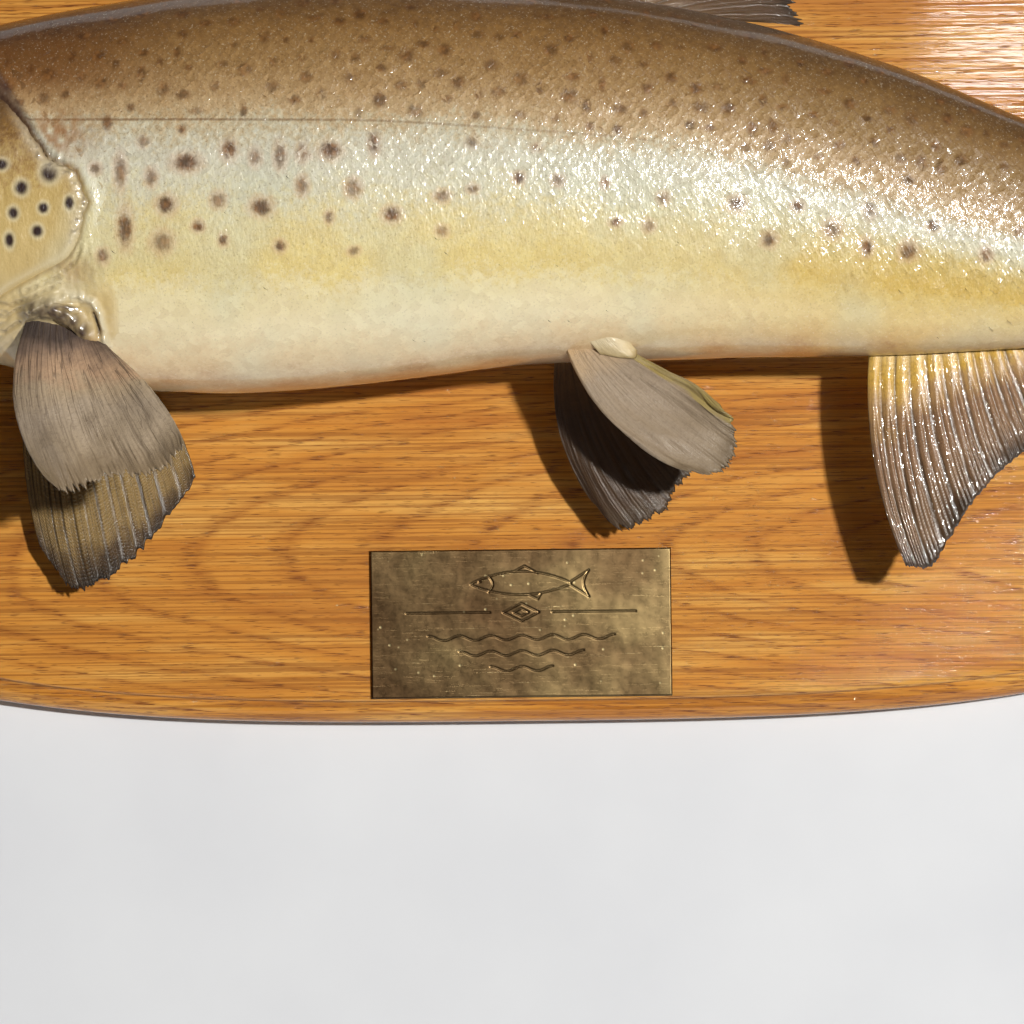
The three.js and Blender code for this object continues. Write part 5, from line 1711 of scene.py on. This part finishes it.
# %% Dried fin skin
def fin_finish(
    name, stops, line_colour, line_share, rim_colour, joints=0.5, rough=0.42, gloss=0.8, streaks=0.5,
    veins=0.0, front=0.0, tucked=None, wet=0.0,
):
    """Dried fin: a ramp from root to rim, dark lines between jointed rays, stained skin and lacquer."""
    finish = bpy.data.materials.new(name)
    add = start(finish)
    place = add("TexCoord", out="Object")
    mm = add("VectorMath", {0: place, 1: (1000, 1000, 1000)}, **TIMES)
    out, ray, across = (add("Attribute", attribute_name=name, out="Fac") for name in ("out", "ray", "across"))
    fan = add("UVMap", uv_map="Fin")
    stain = add("TexNoise", {"Vector": mm, "Scale": 0.06, "Detail": 4.0, "Roughness": 0.6})
    shift = add("Math", {0: stain, 1: 0.4, 2: -0.2}, operation="MULTIPLY_ADD")
    where = add("Math", {0: out, 1: shift}, operation="ADD")
    colour = add("ValToRGB", {0: where}, stops=stops)
    # streaks run out along the rays: noise on the fan's own map, stretched along v
    drawn = add("VectorMath", {0: fan, 1: (46, 2.2, 1)}, **TIMES)
    streak = add("TexNoise", {"Vector": drawn, "Scale": 1.0, "Detail": 4.0, "Roughness": 0.65})
    streaked = add("MapRange", {"Value": streak}, span=(0.5, 0.7), to=(0.0, streaks))
    colour = add("Mix", {0: streaked, 6: colour, 7: paint(line_colour)}, **MIX)
    light = add("MapRange", {"Value": streak}, span=(0.48, 0.3), to=(0.0, streaks * 0.5))
    colour = add("Mix", {0: light, 6: colour, 7: paint(stops[len(stops) // 2][1])}, **MIX)
    between = add("MapRange", {"Value": ray}, span=(0.6, 0.1), to=(0.0, line_share))
    faint = add("MapRange", {"Value": streak}, span=(0.36, 0.62), to=(0.25, 1.0))
    between = add("Math", {0: between, 1: faint}, **TIMES)
    colour = add("Mix", {0: between, 6: colour, 7: paint(line_colour)}, **MIX)
    fine = add("TexNoise", {"Vector": mm, "Scale": 0.8, "Detail": 4.0, "Roughness": 0.65})
    dirt = add("MapRange", {"Value": fine}, span=(0.5, 0.75), to=(0.0, 0.4))
    colour = add("Mix", {0: dirt, 6: colour, 7: paint(line_colour)}, **MIX)
    # painted shade: the leading third of the fin is made darker and greyer
    grey = add("MapRange", {"Value": across}, span=(0.42, 0.18), to=(0.0, front), **SOFT)
    colour = add("Mix", {0: grey, 6: colour, 7: (0.6, 0.6, 0.62, 1)}, **SHADE)
    # veins: thin crooked lines where a stretched noise crosses its middle value, strongest near the root
    crooked = add("VectorMath", {0: fan, 1: (17, 1.5, 1)}, **TIMES)
    level = add("TexNoise", {"Vector": crooked, "Scale": 1.0, "Detail": 2.5, "Roughness": 0.5})
    level = add("Math", {0: level, 1: 0.5}, operation="SUBTRACT")
    level = add("Math", {0: level}, operation="ABSOLUTE")
    vein = add("MapRange", {"Value": level}, span=(0.022, 0.004), to=(0.0, veins), **SOFT)
    gone = add("MapRange", {"Value": where}, span=(0.15, 0.75), to=(1.0, 0.25))
    vein = add("Math", {0: vein, 1: gone}, **TIMES)
    colour = add("Mix", {0: vein, 6: colour, 7: paint(line_colour)}, **MIX)
    last = add("MapRange", {"Value": where}, span=(0.86, 1.04), to=(0.0, 0.7))
    colour = add("Mix", {0: last, 6: colour, 7: paint(rim_colour)}, **MIX)
    if tucked:
        folded = add("MapRange", {"Value": across}, span=(tucked[0] - 0.01, tucked[0] + 0.01))
        golden = add("MapRange", {"Value": streak}, span=(0.35, 0.6), to=(1.0, 0.35))
        folded = add("Math", {0: folded, 1: golden}, **TIMES)
        colour = add("Mix", {0: folded, 6: colour, 7: paint(tucked[1])}, **MIX)
    # joints of the rays, 1.3 mm apart, start a third of the way out
    v = add("SeparateXYZ", {0: fan}, out="Y")
    beat = add("Math", {0: streak, 1: 9.0}, **TIMES)
    turns = add("Math", {0: v, 1: 430.0, 2: beat}, operation="MULTIPLY_ADD")
    joint = add("Math", {0: turns}, operation="SINE")
    outer = add("MapRange", {"Value": out}, span=(0.22, 0.4), to=(0.0, joints))
    joint = add("Math", {0: joint, 1: outer}, **TIMES)
    joint = add("Math", {0: joint, 1: ray}, **TIMES)
    relief = add("Math", {0: fine, 1: 0.9, 2: joint}, operation="MULTIPLY_ADD")
    relief = add("Math", {0: streak, 1: 1.2, 2: relief}, operation="MULTIPLY_ADD")
    relief = add("Math", {0: vein, 1: -1.6, 2: relief}, operation="MULTIPLY_ADD")
    wrinkle = add("Bump", {"Strength": 0.7, "Distance": 0.0002 if wet else 0.0004, "Height": relief})
    glaze = wrinkle
    if wet:
        # lacquer that has run down the rays sets in drops 1 mm wide and 4 mm long
        running = add("VectorMath", {0: fan, 1: (56, 17, 1)}, **TIMES)
        drops = add("TexNoise", {"Vector": running, "Scale": 1.0, "Detail": 1.0})
        glaze = add("Bump", {"Strength": 0.8, "Distance": wet, "Height": drops})
    surface = add("BsdfPrincipled", {
        "Base Color": colour, "Roughness": rough, "Normal": wrinkle,
        "Coat Weight": gloss, "Coat Roughness": 0.06 if wet else 0.14, "Coat IOR": 1.5, "Coat Normal": glaze})
    add("OutputMaterial", {"Surface": surface})
    return finish


near_pectoral_skin = fin_finish("dried near pectoral, parchment grey, satin", [
    (0.0, "#2f2526"), (0.14, "#493c37"), (0.24, "#87705f"), (0.36, "#c2a081"), (0.46, "#bba588"),
    (0.6, "#b5a38d"), (0.85, "#ad9a81"), (1.0, "#96826a")],
    "#57483c", 0.12, "#8d7a5e", joints=0.1, rough=0.5, gloss=0.25, streaks=0.28, veins=0.75, front=0.75)
near_pelvic_skin = fin_finish("dried near pelvic, grey brown, satin", [
    (0.0, "#c4a274"), (0.12, "#b99e7c"), (0.3, "#a3907a"), (0.7, "#9e8c76"), (0.9, "#96846c"),
    (1.0, "#7a684f")],
    "#6e5d4a", 0.04, "#75644e", joints=0.05, rough=0.55, gloss=0.15, streaks=0.14, veins=0.3,
    tucked=(0.8, "#a5924a"))
olive_skin = fin_finish("dried far pectoral, gold olive, gloss lacquer", [
    (0.0, "#2a2013"), (0.35, "#5a4424"), (0.6, "#967b48"), (0.82, "#957a4a"), (0.95, "#573f24"),
    (1.0, "#33251a")],
    "#33240f", 0.9, "#2c2012", joints=0.7, rough=0.45, gloss=0.4)
umber_skin = fin_finish("dried far pelvic, umber, gloss lacquer", [
    (0.0, "#8a6434"), (0.12, "#6c4c28"), (0.35, "#47301a"), (0.85, "#4a331c"), (1.0, "#5f4a30")],
    "#2b1b0d", 0.45, "#2e1f10", joints=0.06, rough=0.5, gloss=0.3, streaks=0.55)
anal_skin = fin_finish("dried anal fin, ochre base, gloss lacquer", [
    (0.0, "#dab87c"), (0.06, "#dfba68"), (0.16, "#d9ae4e"), (0.27, "#b8925c"), (0.42, "#947255"),
    (0.8, "#86684c"), (0.92, "#6a503a"), (1.0, "#3d2f22")],
    "#42301e", 0.9, "#3b2d20", joints=0.3, rough=0.3, gloss=1.0, streaks=0.5, wet=0.0012)
brown_skin = fin_finish("dried dorsal and tail fins, brown, gloss lacquer", [
    (0.0, "#7d5f38"), (0.2, "#75583a"), (0.6, "#694f36"), (0.9, "#584230"), (1.0, "#3b2c20")],
    "#453321", 0.6, "#33261b", joints=0.5, rough=0.4, gloss=0.9)

FIN_FINISHES = {
    "dorsal_fin": brown_skin, "adipose_fin": brown_skin, "anal_fin": anal_skin,
    "pectoral_fin_left": near_pectoral_skin, "pectoral_fin_right": olive_skin,
    "pelvic_fin_left": near_pelvic_skin, "pelvic_fin_right": umber_skin,
}
for seed, (name, fin) in enumerate(FINS.items()):
    options = {"wave": fin.get("wave", 0.6), "folded": fin.get("folded")} | (
        {} if fin["bundles"] else {"across": 60, "outwards": 40}
    )
    blade = fin_blade(
        name + "_blade", paired_fin(fin), FIN_FINISHES[name], fin["thick"], fin["bundles"], fin["rag"],
        fin["relief"], 60 + 7 * seed, **options,
    )
    settle(blade, "fin", name)

tail_blade = fin_blade(
    "tail_blade", tail_surface, brown_skin, (10.5, 1.0), 17, 0.02, 0.6, 140, across=340, outwards=80,
    thinning=0.7,
)
settle(tail_blade, "fin", "caudal_fin")

FLAPS = {
    "pelvic_process_left": {
        "rays": [(22, -41, 31, -52, 0), (29, -40, 44, -54, 0), (36, -40, 46, -50.5, 0)],
        "front_y": (71, 66.5), "cup": 1,
    },
    "pelvic_process_right": {
        "rays": [(24, -40, 33, -50.5, 0), (29, -39, 44, -52, 0), (34, -39, 45, -49, 0)], "front_y": (26, 22),
        "cup": -1,
    },
}
cream_flap = fin_finish("scaly flap above the pelvic fin, cream lacquer", [
    (0.0, "#d8c59c"), (0.5, "#dfcda6"), (0.9, "#d3bd8c"), (1.0, "#b59c6a")],
    "#c9b184", 0.1, "#a08a5c", joints=0.0, rough=0.4, gloss=1.0, streaks=0.3)
for name, flap in FLAPS.items():
    blade = fin_blade(
        name + "_flap", paired_fin(flap), cream_flap, (2.4, 1.0), 0, 0.0, 0.0, 160, across=40, outwards=30,
        wave=0.2,
    )
    settle(blade, "skin", name)
